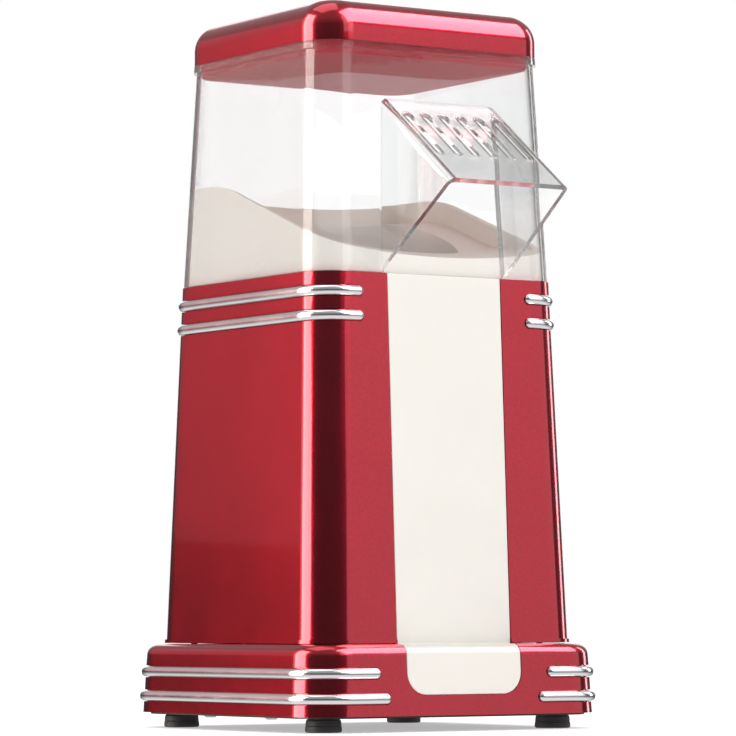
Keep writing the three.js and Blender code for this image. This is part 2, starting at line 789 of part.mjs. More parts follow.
function chute() {
  const skirtLow = bodyTop - chuteSkirt;
  const top = bodyTop + chuteBackRise + past;
  const inBody = (z, extra) => ({ z, ...grow(bodyOutlineAt(z), -bodyWall - seatGap - extra) });
  const inCover = (z, extra) => ({ z, ...grow(coverOutlineAt(z), -coverWall - liftGap - extra) });
  const outside = stack([
    inBody(skirtLow, 0),
    inBody(coverLow, 0),
    inCover(coverLow, 0),
    inCover(top, 0),
  ]);
  const within = stack([inBody(skirtLow - past, chuteWall), inCover(top + past, chuteWall)]);
  const deckSpace = common(above(deckHeight), openFront(within));
  const under = cut(
    within,
    above((x, y) => deckHeight(x, y) - chuteDeckThickness),
    rod(chamberRadius + chuteWall, throatLow, top + past * 2),
  );
  return cut(outside, above(rimHeight), deckSpace, under, rod(chamberRadius, skirtLow - past, top));
}

// The space over the deck also runs out through the front wall.
function openFront(within) {
  const half = bodyHalfX - bodyCorner;
  return join(within, block(-half, half, -bodyHalfY, 0, bodyTop, bodyTop + chuteBackRise));
}

// ---------- popping chamber, duct and heater ----------
function chamber() {
  const louvreLow = chamberLow + louvreRise;
  let cup = solid(turned([
    [0, chamberLow],
    [chamberRadius - 4, chamberLow],
    [chamberRadius, chamberLow + 4],
    [chamberRadius, chamberTop - chamberWall],
    [chamberRadius + chamberFlange, chamberTop - chamberWall],
    [chamberRadius + chamberFlange, chamberTop],
    [chamberBore, chamberTop],
    [chamberBore, chamberLow + 4.4],
    [chamberBore - 3.4, chamberLow + chamberWall],
    [0, chamberLow + chamberWall + 2.5],
  ], roundSteps + 8));
  for (let i = 0; i < chamberLouvres; i++) {
    const slot = new THREE.BoxGeometry(chamberWall * 6, louvreWidth, louvreHeight);
    slot.rotateX(louvreTilt).translate(chamberRadius, 0, louvreLow + louvreHeight / 2);
    cup = cut(cup, solid(slot.rotateZ(i / chamberLouvres * Math.PI * 2)));
  }
  return cup;
}

function collar() {
  const inner = chamberRadius + collarGap;
  const low = collarTop - collarHeight;
  return turned([
    [inner, low - 3],
    [ductRadius - ductWall - seatGap, low - 3],
    [ductRadius - ductWall - seatGap, low],
    [ductRadius, low],
    [ductRadius, collarTop],
    [inner, collarTop],
    [inner, low - 3],
  ], roundSteps);
}

function duct() {
  const inner = ductRadius - ductWall;
  return turned([
    [inner, ductLow],
    [ductRadius, ductLow],
    [ductRadius, ductTop],
    [inner, ductTop],
    [inner, ductLow],
  ], roundSteps);
}

function heaterFrame() {
  const reach = ductRadius - ductWall - seatGap * 2;
  const plate = (long, wide) => block(-long, long, -wide, wide, frameLow, frameTop);
  return join(plate(reach, heaterPlate / 2), plate(heaterPlate / 2, reach));
}

class CoilPath extends THREE.Curve {
  getPoint(share, target = new THREE.Vector3()) {
    const outer = chamberRadius - coilWire;
    const radius = THREE.MathUtils.lerp(coilInner, outer, share);
    const angle = share * coilTurns * Math.PI * 2;
    return target.set(radius * Math.cos(angle), radius * Math.sin(angle), coilZ);
  }
}

function tube(path, radius, steps, sides = 8) {
  const section = new THREE.Shape().absarc(0, 0, radius, 0, Math.PI * 2, false);
  return new THREE.ExtrudeGeometry(section, { steps, extrudePath: path, curveSegments: sides });
}

function blower() {
  const wall = blowerPlate;
  const inner = ductRadius - wall;
  let housing = solid(turned([
    [shaftRadius + past, blowerLow],
    [ductRadius, blowerLow],
    [ductRadius, blowerTop],
    [ductRadius - blowerOutlet, blowerTop],
    [ductRadius - blowerOutlet, blowerTop - wall],
    [inner, blowerTop - wall],
    [inner, blowerLow + wall],
    [shaftRadius + past, blowerLow + wall],
    [shaftRadius + past, blowerLow],
  ], roundSteps));
  for (const [x, y] of diagonals) {
    const [earX, earY] = [x * postCentre, y * postCentre];
    const web = new THREE.BoxGeometry(earOffset + 1, earRadius * 2, wall)
      .translate(ductRadius + earOffset / 2 - 0.5, 0, blowerLow + wall / 2)
      .rotateZ(Math.atan2(y, x));
    const ear = join(rod(earRadius, blowerLow, blowerLow + wall, earX, earY, smallSteps), solid(web));
    const above = blowerLow + wall + past;
    const hole = rod(screwRadius + seatGap, blowerLow - past, above, earX, earY, smallSteps);
    housing = cut(join(housing, ear), hole);
  }
  const intakes = 8;
  const intakeRadius = (ductRadius - impellerInset - mountRadius) / 2 - 1;
  for (let i = 0; i < intakes; i++) {
    const angle = (i + 0.5) / intakes * Math.PI * 2;
    const ring = mountRadius + 1 + intakeRadius;
    housing = cut(housing, rod(intakeRadius, blowerLow - past, blowerLow + wall + past,
      ring * Math.cos(angle), ring * Math.sin(angle), smallSteps));
  }
  return housing;
}

// ---------- fan and motor ----------
const impellerLow = blowerLow + blowerPlate + 3;
const impellerTop = impellerLow + impellerHeight;

function impeller() {
  const radius = ductRadius - impellerInset;
  let wheel = join(
    rod(radius, impellerLow, impellerLow + bladeThickness),
    rod(impellerHub, impellerLow, impellerTop),
  );
  for (let i = 0; i < impellerBlades; i++) {
    const blade = new THREE.BoxGeometry(radius - impellerHub + 1, bladeThickness, impellerHeight);
    blade.translate((radius + impellerHub - 1) / 2, 0, (impellerLow + impellerTop) / 2);
    wheel = join(wheel, solid(blade.rotateZ(i / impellerBlades * Math.PI * 2)));
  }
  return cut(wheel, rod(shaftRadius + seatGap, impellerLow - past, impellerTop + past, 0, 0, smallSteps));
}

function motorCan() {
  const shaftHole = shaftRadius + bearingGap;
  return turned([
    [shaftHole, motorTop],
    [motorRadius, motorTop],
    [motorRadius, motorLow],
    [motorRadius - motorWall, motorLow],
    [motorRadius - motorWall, motorTop - motorWall * 2],
    [shaftHole, motorTop - motorWall * 2],
    [shaftHole, motorTop],
  ]);
}

function motorCap() {
  const shaftHole = shaftRadius + bearingGap;
  const top = motorLow - seatGap;
  return turned([
    [shaftHole, top],
    [motorRadius, top],
    [motorRadius, top - 2],
    [shaftRadius * 3, top - motorCapHeight + seatGap],
    [shaftHole, top - motorCapHeight + seatGap],
    [shaftHole, top],
  ]);
}

function armature() {
  const radius = motorRadius - motorWall - armatureInset;
  const low = motorLow + 3;
  const high = motorTop - motorWall * 2 - 3;
  let core = rod(radius, low, high, 0, 0, 24);
  for (let i = 0; i < armatureSlots; i++) {
    const angle = i / armatureSlots * Math.PI * 2;
    const [slotX, slotY] = [radius * Math.cos(angle), radius * Math.sin(angle)];
    core = cut(core, rod(armatureSlotRadius, low - past, high + past, slotX, slotY, 8));
  }
  return cut(core, rod(shaftRadius + seatGap, low - past, high + past, 0, 0, smallSteps));
}

function shaft() {
  return rod(shaftRadius, motorLow - motorCapHeight - 1, impellerTop + 2.5, 0, 0, roundSteps);
}

function motorMount() {
  return turned([
    [shaftRadius + past, mountTop - mountThickness],
    [mountRadius, mountTop - mountThickness],
    [mountRadius, mountTop],
    [shaftRadius + past, mountTop],
    [shaftRadius + past, mountTop - mountThickness],
  ]);
}

function rectifierBoard() {
  const low = boardTop - boardThickness;
  let board = rod(motorRadius - 3, low, boardTop, 0, 0, 24);
  for (const [x, y] of diagonals) {
    board = join(board, rod(1.5, boardTop - 0.5, boardTop + 3, x * 7, y * 7, 10));
  }
  return board;
}

// ---------- rear fittings ----------
// Each sits on the leaning rear wall; the switch is halfway between the flange and the blower.
const rearLean = Math.atan2(bodySpreadY, bodyHeight);
const rearPlace = (x, z) => new THREE.Vector3(x, bodyOutlineAt(z).halfY, z);
const switchPlace = rearPlace(rearFittingX, (bodyLow + flangeThickness + blowerLow) / 2);
const glandPlace = rearPlace(-rearFittingX, bodyLow + glandRise);
const onRear = (geometry, place) => geometry.rotateX(rearLean).translate(place.x, place.y, place.z);

// A cylinder through the rear wall, between two depths measured outwards.
function rearRod(radius, from, to, place) {
  const geometry = new THREE.CylinderGeometry(radius, radius, to - from, 24);
  return solid(onRear(geometry.translate(0, (from + to) / 2, 0), place));
}

// A block on the rear wall, in the wall's own leaning frame.
function rearBlock(halfX, from, to, halfZ, place, z = 0) {
  const geometry = new THREE.BoxGeometry(halfX * 2, to - from, halfZ * 2);
  return solid(onRear(geometry.translate(0, (from + to) / 2, z), place));
}

function switchWindow() {
  const halfX = switchHalfX - switchLap + seatGap;
  const halfZ = switchHalfZ - switchLap + seatGap;
  return rearBlock(halfX, -bodyWall * 2, past * 2, halfZ, switchPlace);
}

const rockerPivot = new THREE.Vector3(0, -2.2, 0).applyAxisAngle(axisX, rearLean).add(switchPlace);

function rockerSpace() {
  return rearBlock(rockerHalfX + seatGap, -switchDepth + 5, past * 2, rockerHalfZ + 0.9, switchPlace);
}

function switchHousing() {
  const innerX = switchHalfX - switchLap;
  const innerZ = switchHalfZ - switchLap;
  const pinHole = new THREE.CylinderGeometry(rockerPin + bearingGap * 2, rockerPin + bearingGap * 2,
    rockerHalfX * 2 + 2, smallSteps);
  pinHole.rotateZ(Math.PI / 2).translate(rockerPivot.x, rockerPivot.y, rockerPivot.z);
  return cut(
    join(
      rearBlock(switchHalfX, seatGap, switchBezel, switchHalfZ, switchPlace),
      rearBlock(innerX, -switchDepth, seatGap + 0.5, innerZ, switchPlace),
      rearBlock(2.4, -switchDepth - 7, -switchDepth + 1, 0.4, switchPlace, 5),
      rearBlock(2.4, -switchDepth - 7, -switchDepth + 1, 0.4, switchPlace, -5),
    ),
    rockerSpace(),
    solid(pinHole),
  );
}

// The rocker turns about X; at rest its upper end stands out and its lower end is pressed in.
function rocker() {
  const side = polygon([
    [-4.5, -3],
    [-4.5, 3],
    [0.5, rockerHalfZ],
    [4.6, rockerHalfZ],
    [3.5, 0],
    [4.6, -rockerHalfZ],
    [0.5, -rockerHalfZ],
  ]);
  const width = rockerHalfX * 2;
  const wedge = slab(side, axisY, axisZ, width, new THREE.Vector3(-rockerHalfX, 0, 0));
  const pin = new THREE.CylinderGeometry(rockerPin, rockerPin, width + 1.2, smallSteps);
  pin.rotateZ(Math.PI / 2);
  return join(solid(wedge.rotateX(rearLean - rockerTilt)), solid(pin.rotateX(rearLean)));
}

function gland() {
  return turned([
    [glandBore, -bodyWall - 8],
    [glandTube, -bodyWall - 8],
    [glandTube, seatGap],
    [glandRadius, seatGap],
    [glandRadius - 0.8, glandFlange],
    [glandBore + 0.6, glandFlange + 1],
    [glandBore, glandFlange],
    [glandBore, -bodyWall - 8],
  ], 24).rotateX(-Math.PI / 2);
}

function glandNut() {
  const inner = glandTube + seatGap;
  const top = -bodyWall - seatGap - 0.3;
  return turned([
    [inner, top - 3],
    [glandRadius + 0.5, top - 3],
    [glandRadius + 0.5, top],
    [inner, top],
    [inner, top - 3],
  ], smallSteps * 2).rotateX(-Math.PI / 2);
}

// A round sensor clipped to the duct, standing out along the diagonal at the back left.
function thermostat() {
  return new THREE.CylinderGeometry(sensorRadius, sensorRadius, sensorHeight, 24)
    .rotateZ(Math.PI / 2)
    .translate(ductRadius + seatGap + sensorHeight / 2, 0, ductTop - sensorDrop)
    .rotateZ(Math.PI * 0.75);
}

function thermalFuse() {
  return new THREE.CylinderGeometry(fuseRadius, fuseRadius, fuseLength, 12)
    .rotateX(Math.PI / 2)
    .translate(ductRadius + seatGap + fuseRadius, 0, ductTop - fuseDrop)
    .rotateZ(fuseAngle);
}

// ---------- wires ----------
function wire(...points) {
  const path = new THREE.CatmullRomCurve3(points);
  return tube(path, wireRadius, 14, 4);
}

const behindSwitch = (z) => new THREE.Vector3(0, -switchDepth - 7 - seatGap - wireRadius, z)
  .applyAxisAngle(axisX, rearLean).add(switchPlace);
const boardPad = boardTop + wireRadius + seatGap;

// From the gland's bore to the switch's lower terminal
function supplyWire() {
  const start = new THREE.Vector3(glandPlace.x, glandPlace.y - bodyWall - 9, glandPlace.z);
  const end = behindSwitch(-5);
  const middle = start.clone().lerp(end, 0.5).add(new THREE.Vector3(0, -3, -6));
  return wire(start, middle, end);
}

// From the switch's upper terminal down to the board below the motor
function motorWire() {
  const beside = new THREE.Vector3(motorRadius * 0.8, motorRadius + 4, boardPad + 1);
  const above = beside.clone().add(new THREE.Vector3(6, 8, 9));
  return wire(behindSwitch(5), above, beside, new THREE.Vector3(2, 10, boardPad));
}

// From the board up through the body's opening and beside the blower to the fuse on the duct
function heaterWire() {
  const outwards = (radius, z) => new THREE.Vector3(radius, 0, z).applyAxisAngle(axisZ, fuseAngle);
  const ductSide = ductRadius + seatGap + fuseRadius;
  return wire(
    new THREE.Vector3(9, 0, boardPad),
    outwards(flangeHalf - 12, THREE.MathUtils.lerp(boardPad, blowerLow, 0.2)),
    outwards(flangeHalf - 4, THREE.MathUtils.lerp(boardPad, blowerLow, 0.5)),
    outwards(ductSide, blowerLow),
    outwards(ductSide, ductTop - fuseDrop - fuseLength / 2 - seatGap),
  );
}

// ---------- assembly ----------
function material(color, roughness, metalness, opacity = 1) {
  return new THREE.MeshStandardMaterial({ color, roughness, metalness, opacity, transparent: opacity < 1 });
}
const redPaint = () => material(0xa3101f, 0.18, 0.35);
const cream = () => material(0xefece4, 0.35, 0);
const chrome = () => material(0xd5d8db, 0.2, 1);
const clearPlastic = () => material(0xf2f5f7, 0.05, 0, 0.25);
const blackPlastic = () => material(0x17171a, 0.5, 0);
const rubber = () => material(0x101010, 0.85, 0);
const aluminium = () => material(0xc3c5c8, 0.35, 1);
const steel = () => material(0x9da0a5, 0.35, 1);
const phenolic = () => material(0x2c241f, 0.6, 0);
const mica = () => material(0xb9ab8c, 0.5, 0);
const copper = () => material(0xb06a3c, 0.4, 0.8);
const circuitBoard = () => material(0x1f5a38, 0.5, 0);
const redWire = () => material(0xb02020, 0.5, 0);

const machine = new THREE.Group();

function add(name, shape, look, place = new THREE.Vector3()) {
  let geometry = shape;
  if (!shape.isBufferGeometry) {
    const { vertProperties, triVerts } = shape.getMesh();
    geometry = new THREE.BufferGeometry();
    geometry.setAttribute("position", new THREE.Float32BufferAttribute(vertProperties, 3));
    geometry.setIndex(Array.from(triVerts));
    geometry.computeVertexNormals();
  }
  const mesh = new THREE.Mesh(geometry, look);
  mesh.name = name;
  mesh.position.copy(place);
  machine.add(mesh);
  return mesh;
}

add("plinth", plinth(), redPaint());
add("body_shell", bodyShell(), redPaint());
add("front_panel", frontPanel(), cream());
for (const { name, wall, z, startX, side } of trimPlaces()) {
  add(name, trimBar(wall, z, startX, side), chrome());
}
add("bottom_cover", bottomCover(), blackPlastic());
diagonals.forEach(([x, y], i) => {
  const corner = `${y < 0 ? "front" : "rear"}_${x < 0 ? "left" : "right"}`;
  add(`foot_${corner}`, solid(foot()), rubber(), new THREE.Vector3(x * footX, y * footY, 0));
  const baseSeat = new THREE.Vector3(x * baseScrewX, y * baseScrewSide, bottomUnder + 1 - seatGap);
  add(`base_screw_${i + 1}`, solid(screw()), steel(), baseSeat);
  const bodySeat = new THREE.Vector3(x * bodyScrewX, y * bodyScrewY, plinthTop - plinthWall - seatGap);
  add(`body_screw_${i + 1}`, solid(screw()), steel(), bodySeat);
  const blowerScrew = add(
    `blower_screw_${i + 1}`,
    solid(screw()),
    steel(),
    new THREE.Vector3(x * postCentre, y * postCentre, blowerLow + blowerPlate + seatGap),
  );
  blowerScrew.rotation.x = Math.PI;
});
add("popcorn_chute", chute(), cream());
add("popping_chamber", chamber(), aluminium());
add("chamber_collar", solid(collar()), phenolic());
add("air_duct", solid(duct()), steel());
add("heater_frame", heaterFrame(), mica());
add("heater_coil", solid(tube(new CoilPath(), coilWire, coilSteps, 3)), steel());
add("blower_housing", blower(), phenolic());
add("fan_impeller", impeller(), blackPlastic());
add("motor_shaft", shaft(), steel());
add("motor_armature", armature(), copper());
add("motor_can", solid(motorCan()), steel());
add("motor_end_cap", solid(motorCap()), blackPlastic());
add("motor_mount", solid(motorMount()), steel());
add("rectifier_board", rectifierBoard(), circuitBoard());
add("switch_housing", switchHousing(), blackPlastic());
add("switch_rocker", rocker(), blackPlastic(), rockerPivot);
add("cord_gland", solid(gland()), blackPlastic(), glandPlace).rotation.x = rearLean;
add("gland_nut", solid(glandNut()), blackPlastic(), glandPlace).rotation.x = rearLean;
add("thermostat", solid(thermostat()), blackPlastic());
add("thermal_fuse", solid(thermalFuse()), steel());
add("supply_wire", solid(supplyWire()), redWire());
add("motor_wire", solid(motorWire()), redWire());
add("heater_wire", solid(heaterWire()), redWire());
add("clear_cover", clearCover(), clearPlastic());
add("lid_cap", lidCap(), redPaint());
add("lid_insert", lidInsert(), redPaint());

// The spout reaches further forwards than the plinth reaches back: centre the outer box on the origin.
const frontReach = -hoodPoint(hoodLength).y;
const rearReach = plinthOutlineAt(plinthLow + plinthTrimRises[0]).halfY + trimRise;
machine.position.y = (frontReach - rearReach) / 2;

export default machine;
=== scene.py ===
"""Popcorn maker: a tapered red tower on a wider plinth, a cream front panel, chrome bars, a clear
cover with a slotted spout, a cream chute and a red lid. Run as a script; every size is in metres."""
import json
import math

import bmesh
import bpy
from bpy.props import FloatProperty, FloatVectorProperty, IntProperty, PointerProperty
from mathutils import Matrix, Vector


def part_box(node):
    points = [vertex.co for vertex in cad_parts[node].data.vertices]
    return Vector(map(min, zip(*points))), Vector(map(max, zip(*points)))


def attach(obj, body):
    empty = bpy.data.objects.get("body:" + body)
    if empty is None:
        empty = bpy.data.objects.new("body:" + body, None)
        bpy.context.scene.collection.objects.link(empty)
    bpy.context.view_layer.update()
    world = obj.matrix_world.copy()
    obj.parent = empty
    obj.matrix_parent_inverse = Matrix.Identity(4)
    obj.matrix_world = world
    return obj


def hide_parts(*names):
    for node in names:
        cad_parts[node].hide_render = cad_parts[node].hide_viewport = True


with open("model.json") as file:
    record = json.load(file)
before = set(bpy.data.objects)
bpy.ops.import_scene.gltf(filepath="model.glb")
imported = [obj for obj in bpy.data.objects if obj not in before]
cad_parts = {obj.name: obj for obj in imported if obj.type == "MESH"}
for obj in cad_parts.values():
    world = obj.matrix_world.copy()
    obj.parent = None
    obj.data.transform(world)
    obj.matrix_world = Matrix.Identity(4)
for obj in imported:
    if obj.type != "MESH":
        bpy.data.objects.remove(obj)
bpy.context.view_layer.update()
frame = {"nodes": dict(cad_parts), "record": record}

bl_info = {
    "name": "Popcorn maker",
    "version": (1, 0, 0),
    "blender": (4, 5, 0),
    "location": "3D View > Sidebar > Popcorn maker",
    "description": "Builds the visible pieces of a retro hot-air popcorn maker round its frame",
    "category": "Add Mesh",
}

BODY_LOW, BODY_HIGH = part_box("body_shell")
PLINTH_LOW, PLINTH_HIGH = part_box("plinth")
COVER_LOW, COVER_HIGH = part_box("clear_cover")
LID_LOW, LID_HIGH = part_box("lid_cap")
INSERT_LOW, INSERT_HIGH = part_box("lid_insert")
CHUTE_LOW, CHUTE_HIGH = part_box("popcorn_chute")
CHAMBER_LOW, CHAMBER_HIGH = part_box("popping_chamber")
PANEL_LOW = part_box("front_panel")[0]
MIDDLE_Y = (BODY_LOW.y + BODY_HIGH.y) / 2
TINY = 1e-5
PAST = 0.002  # how far a cutting tool runs past what it opens
RECESS_CUT = 0.009  # depth of the cutting tools for the panel's recess
PLINTH_RECESS_CUT = 0.008
OPENING_CUT = 0.01  # depth of the cut through the plinth's top
OPENING_CORNER = 0.005
PLUG_CORNER = 0.012
PLUG_EDGE = 0.0012
MOUTH_DEEP = 0.010  # how far the cut for the spout's mouth runs inside and outside the cover's front
MOUTH_SHALLOW = 0.006
SLOT_CUT = 0.012
SLOT_ROUNDING = 0.495  # share of a slot's width that its ends are rounded by
CHUTE_CORNER = 0.0132
CHUTE_INNER_CORNER = 0.0107
CHUTE_STEP = 0.0008  # the ledge that the cover stands on
CHUTE_REACH = 0.064  # half the size of the cutting blocks over the chute
MOUTH_HALF = 0.0446
CHAMBER_BORE = 0.039
CHAMBER_WALL = 0.001
LOUVRES = 12
LOUVRE_LEAN = 0.35
FOOT_PAD = 0.0054
WINDOW_CUT = ((-0.0064, -0.008, -0.0104), (0.0064, 0.004, 0.0104))  # the switch's opening
GLAND_CUT = [(0.0, -0.009), (0.0055, -0.009), (0.0055, 0.006), (0.0, 0.006)]  # radius and height
GLAND_PROFILE = [
    (0.0036, -0.011), (0.0052, -0.011), (0.0052, 0.0003), (0.0075, 0.0003), (0.0074, 0.0012),
    (0.0067, 0.0020), (0.0055, 0.0024), (0.0048, 0.0031), (0.0041, 0.0031), (0.0036, 0.0024),
]


def length(name, description, millimetres):
    return FloatProperty(name=name, description=description, default=millimetres / 1000,
                         min=0.0, precision=5, subtype="DISTANCE", unit="LENGTH")


def colour(name, description, value):
    return FloatVectorProperty(name=name, description=description, default=value,
                               size=3, min=0.0, max=1.0, subtype="COLOR")


def count(name, description, value):
    return IntProperty(name=name, description=description, default=value, min=1)


class TowerSizes(bpy.types.PropertyGroup):
    """The tapered tower"""
    lean_x: length("Lean at the sides", "How far each side leans in on its way up", 4.9)
    lean_y: length("Lean front and back", "How far the front and back lean in on their way up", 6.3)
    corner: length("Corner", "Radius of the upright corners", 15.7)
    wall: length("Wall", "Thickness of the shell", 3.0)
    bead: length("Bead", "How far the bead along the lower edge stands out", 0.8)
    bead_height: length("Bead height", "Height of the bead along the lower edge", 1.5)
    corner_steps: count("Corner steps", "Faces round one upright corner", 14)


class PlinthSizes(bpy.types.PropertyGroup):
    """The plinth"""
    lean: length("Lean", "How far each side leans in on its way up", 1.5)
    corner: length("Corner", "Radius of the upright corners", 18.0)
    edge: length("Edge", "Radius of the upper edge", 4.5)
    wall: length("Wall", "Thickness of the shell", 3.0)
    opening: length("Opening", "Half width of the opening through its top", 52.0)


class PanelSizes(bpy.types.PropertyGroup):
    """The cream front panel"""
    half: length("Half width", "Half the panel's width", 28.1)
    depth: length("Depth", "Thickness of the panel", 1.6)
    corner: length("Corner", "Radius of its lower corners", 9.0)
    lip: length("Lip", "Height of the lip over the tower's upper edge", 3.0)
    gap: length("Gap", "Room between the panel and its recess", 0.3)


class BarSizes(bpy.types.PropertyGroup):
    """The chrome bars"""
    height: length("Height", "Height of a bar", 4.4)
    rise: length("Rise", "How far a bar stands out from the wall", 2.0)
    sink: length("Sink", "How deep a bar sits in the wall", 0.9)
    gap: length("Gap", "Room between a bar and its groove", 0.3)
    steps: count("Steps", "Faces round one corner of a bar", 12)


class CoverSizes(bpy.types.PropertyGroup):
    """The clear cover and its spout"""
    lean_x: length("Lean at the sides", "How far each side leans in on its way up", 4.3)
    lean_y: length("Lean front and back", "How far the front and back lean in on their way up", 4.9)
    corner: length("Corner", "Radius of the upright corners at the lower edge", 15.7)
    wall: length("Wall", "Thickness of the cover", 2.0)
    hood_rise: length("Hood rise", "Height of the hood's upper end above the cover's lower edge", 72.0)
    hood_drop: length("Hood drop", "How much lower the hood's lip is than its upper end", 37.7)
    hood_half: length("Hood half width", "Half width of the hood at its upper end", 29.2)
    lip_half: length("Lip half width", "Half width of the hood at its lip", 29.6)
    heel_half: length("Heel half width", "Half width between the cheeks at the cover's lower edge", 31.87)
    shoulder: length("Shoulder", "Radius between the hood and its cheeks", 3.5)
    slots: count("Slots", "Steam slots through the hood", 6)
    slot_pitch: length("Slot pitch", "Distance from slot to slot", 8.8)
    slot_width: length("Slot width", "Width of a slot", 4.4)
    slot_start: length("Slot start", "From the hood's upper end to the slots", 10.0)
    slot_length: length("Slot length", "Length of a slot", 34.0)
    rim: length("Rim", "How far the rim under the lid stands out", 1.3)
    rim_height: length("Rim height", "Height of the rim under the lid", 2.8)


class LidSizes(bpy.types.PropertyGroup):
    """The lid"""
    corner: length("Corner", "Radius of the upright corners", 15.7)
    edge: length("Edge", "Radius of the upper edge", 11.5)
    wall: length("Wall", "Thickness of the lid", 2.4)
    plug_half_x: length("Plug half width", "Half width of the plug that sits in the cover", 53.5)
    plug_half_y: length("Plug half depth", "Half depth of the plug that sits in the cover", 52.5)
    flange: length("Flange", "Thickness of the plug's flange", 2.0)


class ChuteSizes(bpy.types.PropertyGroup):
    """The cream chute"""
    wall: length("Wall", "Thickness of the rim wall", 2.5)
    deck: length("Deck", "Thickness of the deck", 3.0)
    back_rise: length("Back rise", "The rim above the tower at the back", 42.7)
    front_rise: length("Front rise", "The rim above the tower at the front", 12.7)
    knee: length("Knee", "Distance behind the middle where the rim turns down", 22.5)
    knee_blend: length("Knee blend", "Half length of the bend at the knee", 12.0)
    dip: length("Dip", "How much lower the rim and deck are on the middle line", 5.0)
    deck_drop: length("Deck drop", "How far the deck lies below the rim at the back", 9.0)
    deck_run: length("Deck run", "Distance from the front over which the deck gets that deep", 45.0)
    throat: length("Throat", "Radius of the throat", 40.0)
    rows: count("Rows", "Rows of faces across the deck", 44)


class FinishColours(bpy.types.PropertyGroup):
    """Colours of the visible finishes"""
    lacquer: colour("Lacquer", "Red of the tower, plinth and lid", (0.47, 0.012, 0.030))
    moulding: colour("Moulding", "Red of the unlacquered plastic under the lid", (0.40, 0.016, 0.028))
    cream: colour("Cream", "Cream of the front panel and chute", (0.85, 0.82, 0.755))
    clear: colour("Clear", "Tint of the clear cover", (0.985, 0.99, 0.99))
    chrome: colour("Chrome", "Tint of the bars", (0.86, 0.86, 0.87))
    rubber: colour("Rubber", "Black of the feet", (0.022, 0.021, 0.021))
    floor: colour("Floor", "Tint of the floor and backdrop", (0.93, 0.93, 0.93))


SETTINGS = {
    "popcorn_tower": TowerSizes,
    "popcorn_plinth": PlinthSizes,
    "popcorn_panel": PanelSizes,
    "popcorn_bars": BarSizes,
    "popcorn_cover": CoverSizes,
    "popcorn_lid": LidSizes,
    "popcorn_chute": ChuteSizes,
    "popcorn_colours": FinishColours,
}


# ---------- working by hand ----------
def only(piece):
    """Selects one piece and nothing else."""
    if bpy.context.mode != "OBJECT":
        bpy.ops.object.mode_set(mode="OBJECT")
    bpy.ops.object.select_all(action="DESELECT")
    piece.select_set(True)
    bpy.context.view_layer.objects.active = piece


def edit(piece):
    only(piece)
    bpy.ops.object.mode_set(mode="EDIT")


def done():
    bpy.ops.object.mode_set(mode="OBJECT")


def rename(piece, name):
    piece.name = name
    piece.data.name = name
    return piece


def set_in(piece, place=(0.0, 0.0, 0.0), turn=(0.0, 0.0, 0.0)):
    """Moves and turns a piece, and sets that into its mesh."""
    only(piece)
    piece.location = place
    piece.rotation_euler = turn
    bpy.ops.object.transform_apply(location=True, rotation=True, scale=True)


def add(primitive, name, **settings):
    """Adds a primitive, and sets its place into its mesh."""
    bpy.ops.object.select_all(action="DESELECT")
    primitive(**settings)
    bpy.ops.object.transform_apply(location=True, rotation=True, scale=True)
    return rename(bpy.context.object, name)


def joined(pieces):
    """Joins pieces into the first of them."""
    only(pieces[0])
    for piece in pieces[1:]:
        piece.select_set(True)
    bpy.ops.object.join()
    return pieces[0]


def pick(kind, test):
    """In edit mode, selects the verts, edges or faces whose place or direction passes the test."""
    mode = {"verts": "VERT", "edges": "EDGE", "faces": "FACE"}[kind]
    bpy.ops.mesh.select_mode(type=mode)
    bpy.ops.mesh.select_all(action="DESELECT")
    mesh = bpy.context.edit_object.data
    form = bmesh.from_edit_mesh(mesh)
    for item in getattr(form, kind):
        if test(item):
            item.select_set(True)
    form.select_flush_mode()
    bmesh.update_edit_mesh(mesh)


def middle(item):
    """The middle of an edge or face."""
    return sum((vert.co for vert in item.verts), Vector()) / len(item.verts)


def along(edge):
    """An edge's direction."""
    return (edge.verts[1].co - edge.verts[0].co).normalized()


def upright(edge):
    return abs(along(edge).z) > 0.9


def level(face):
    return abs(face.normal.z) > 0.9


def faces_out(face):
    """Whether an upright face looks away from the machine's middle."""
    return abs(face.normal.z) < 0.5 and face.normal.dot(
        middle(face) - Vector((0, MIDDLE_Y, middle(face).z))) > 0


def at_height(z, room=TINY):
    return lambda item: all(abs(vert.co.z - z) < room for vert in item.verts)


def push(x=0.0, y=0.0, z=0.0):
    bpy.ops.mesh.extrude_region_move(TRANSFORM_OT_translate={"value": (x, y, z)})


def widen(x, y, z, centre):
    bpy.ops.transform.resize(value=(x, y, z), center_override=tuple(centre))


def soften(width, steps):
    bpy.ops.mesh.bevel(offset=width, offset_type="OFFSET", segments=steps, profile=0.5, affect="EDGES")


def take_all():
    bpy.ops.mesh.select_all(action="SELECT")


def stand_out(width):
    """Draws the selected faces out along their normals."""
    bpy.ops.mesh.extrude_region_shrink_fatten(TRANSFORM_OT_shrink_fatten={"value": width})


def face_outwards():
    take_all()
    bpy.ops.mesh.remove_doubles(threshold=1e-6)
    bpy.ops.mesh.normals_make_consistent(inside=False)


def apply(piece, kind, **settings):
    """Adds a modifier and applies it."""
    only(piece)
    modifier = piece.modifiers.new(kind.title(), kind)
    for name, value in settings.items():
        setattr(modifier, name, value)
    bpy.ops.object.modifier_apply(modifier=modifier.name)


def carve(piece, tool, operation="DIFFERENCE"):
    """Cuts, joins or keeps in common with a tool, which is used up."""
    apply(piece, "BOOLEAN", operation=operation, solver="EXACT", object=tool)
    bpy.data.objects.remove(tool, do_unlink=True)


def line_with_wall(piece, thickness, outwards=False):
    apply(piece, "SOLIDIFY", thickness=thickness, offset=1.0 if outwards else -1.0, use_even_offset=True)


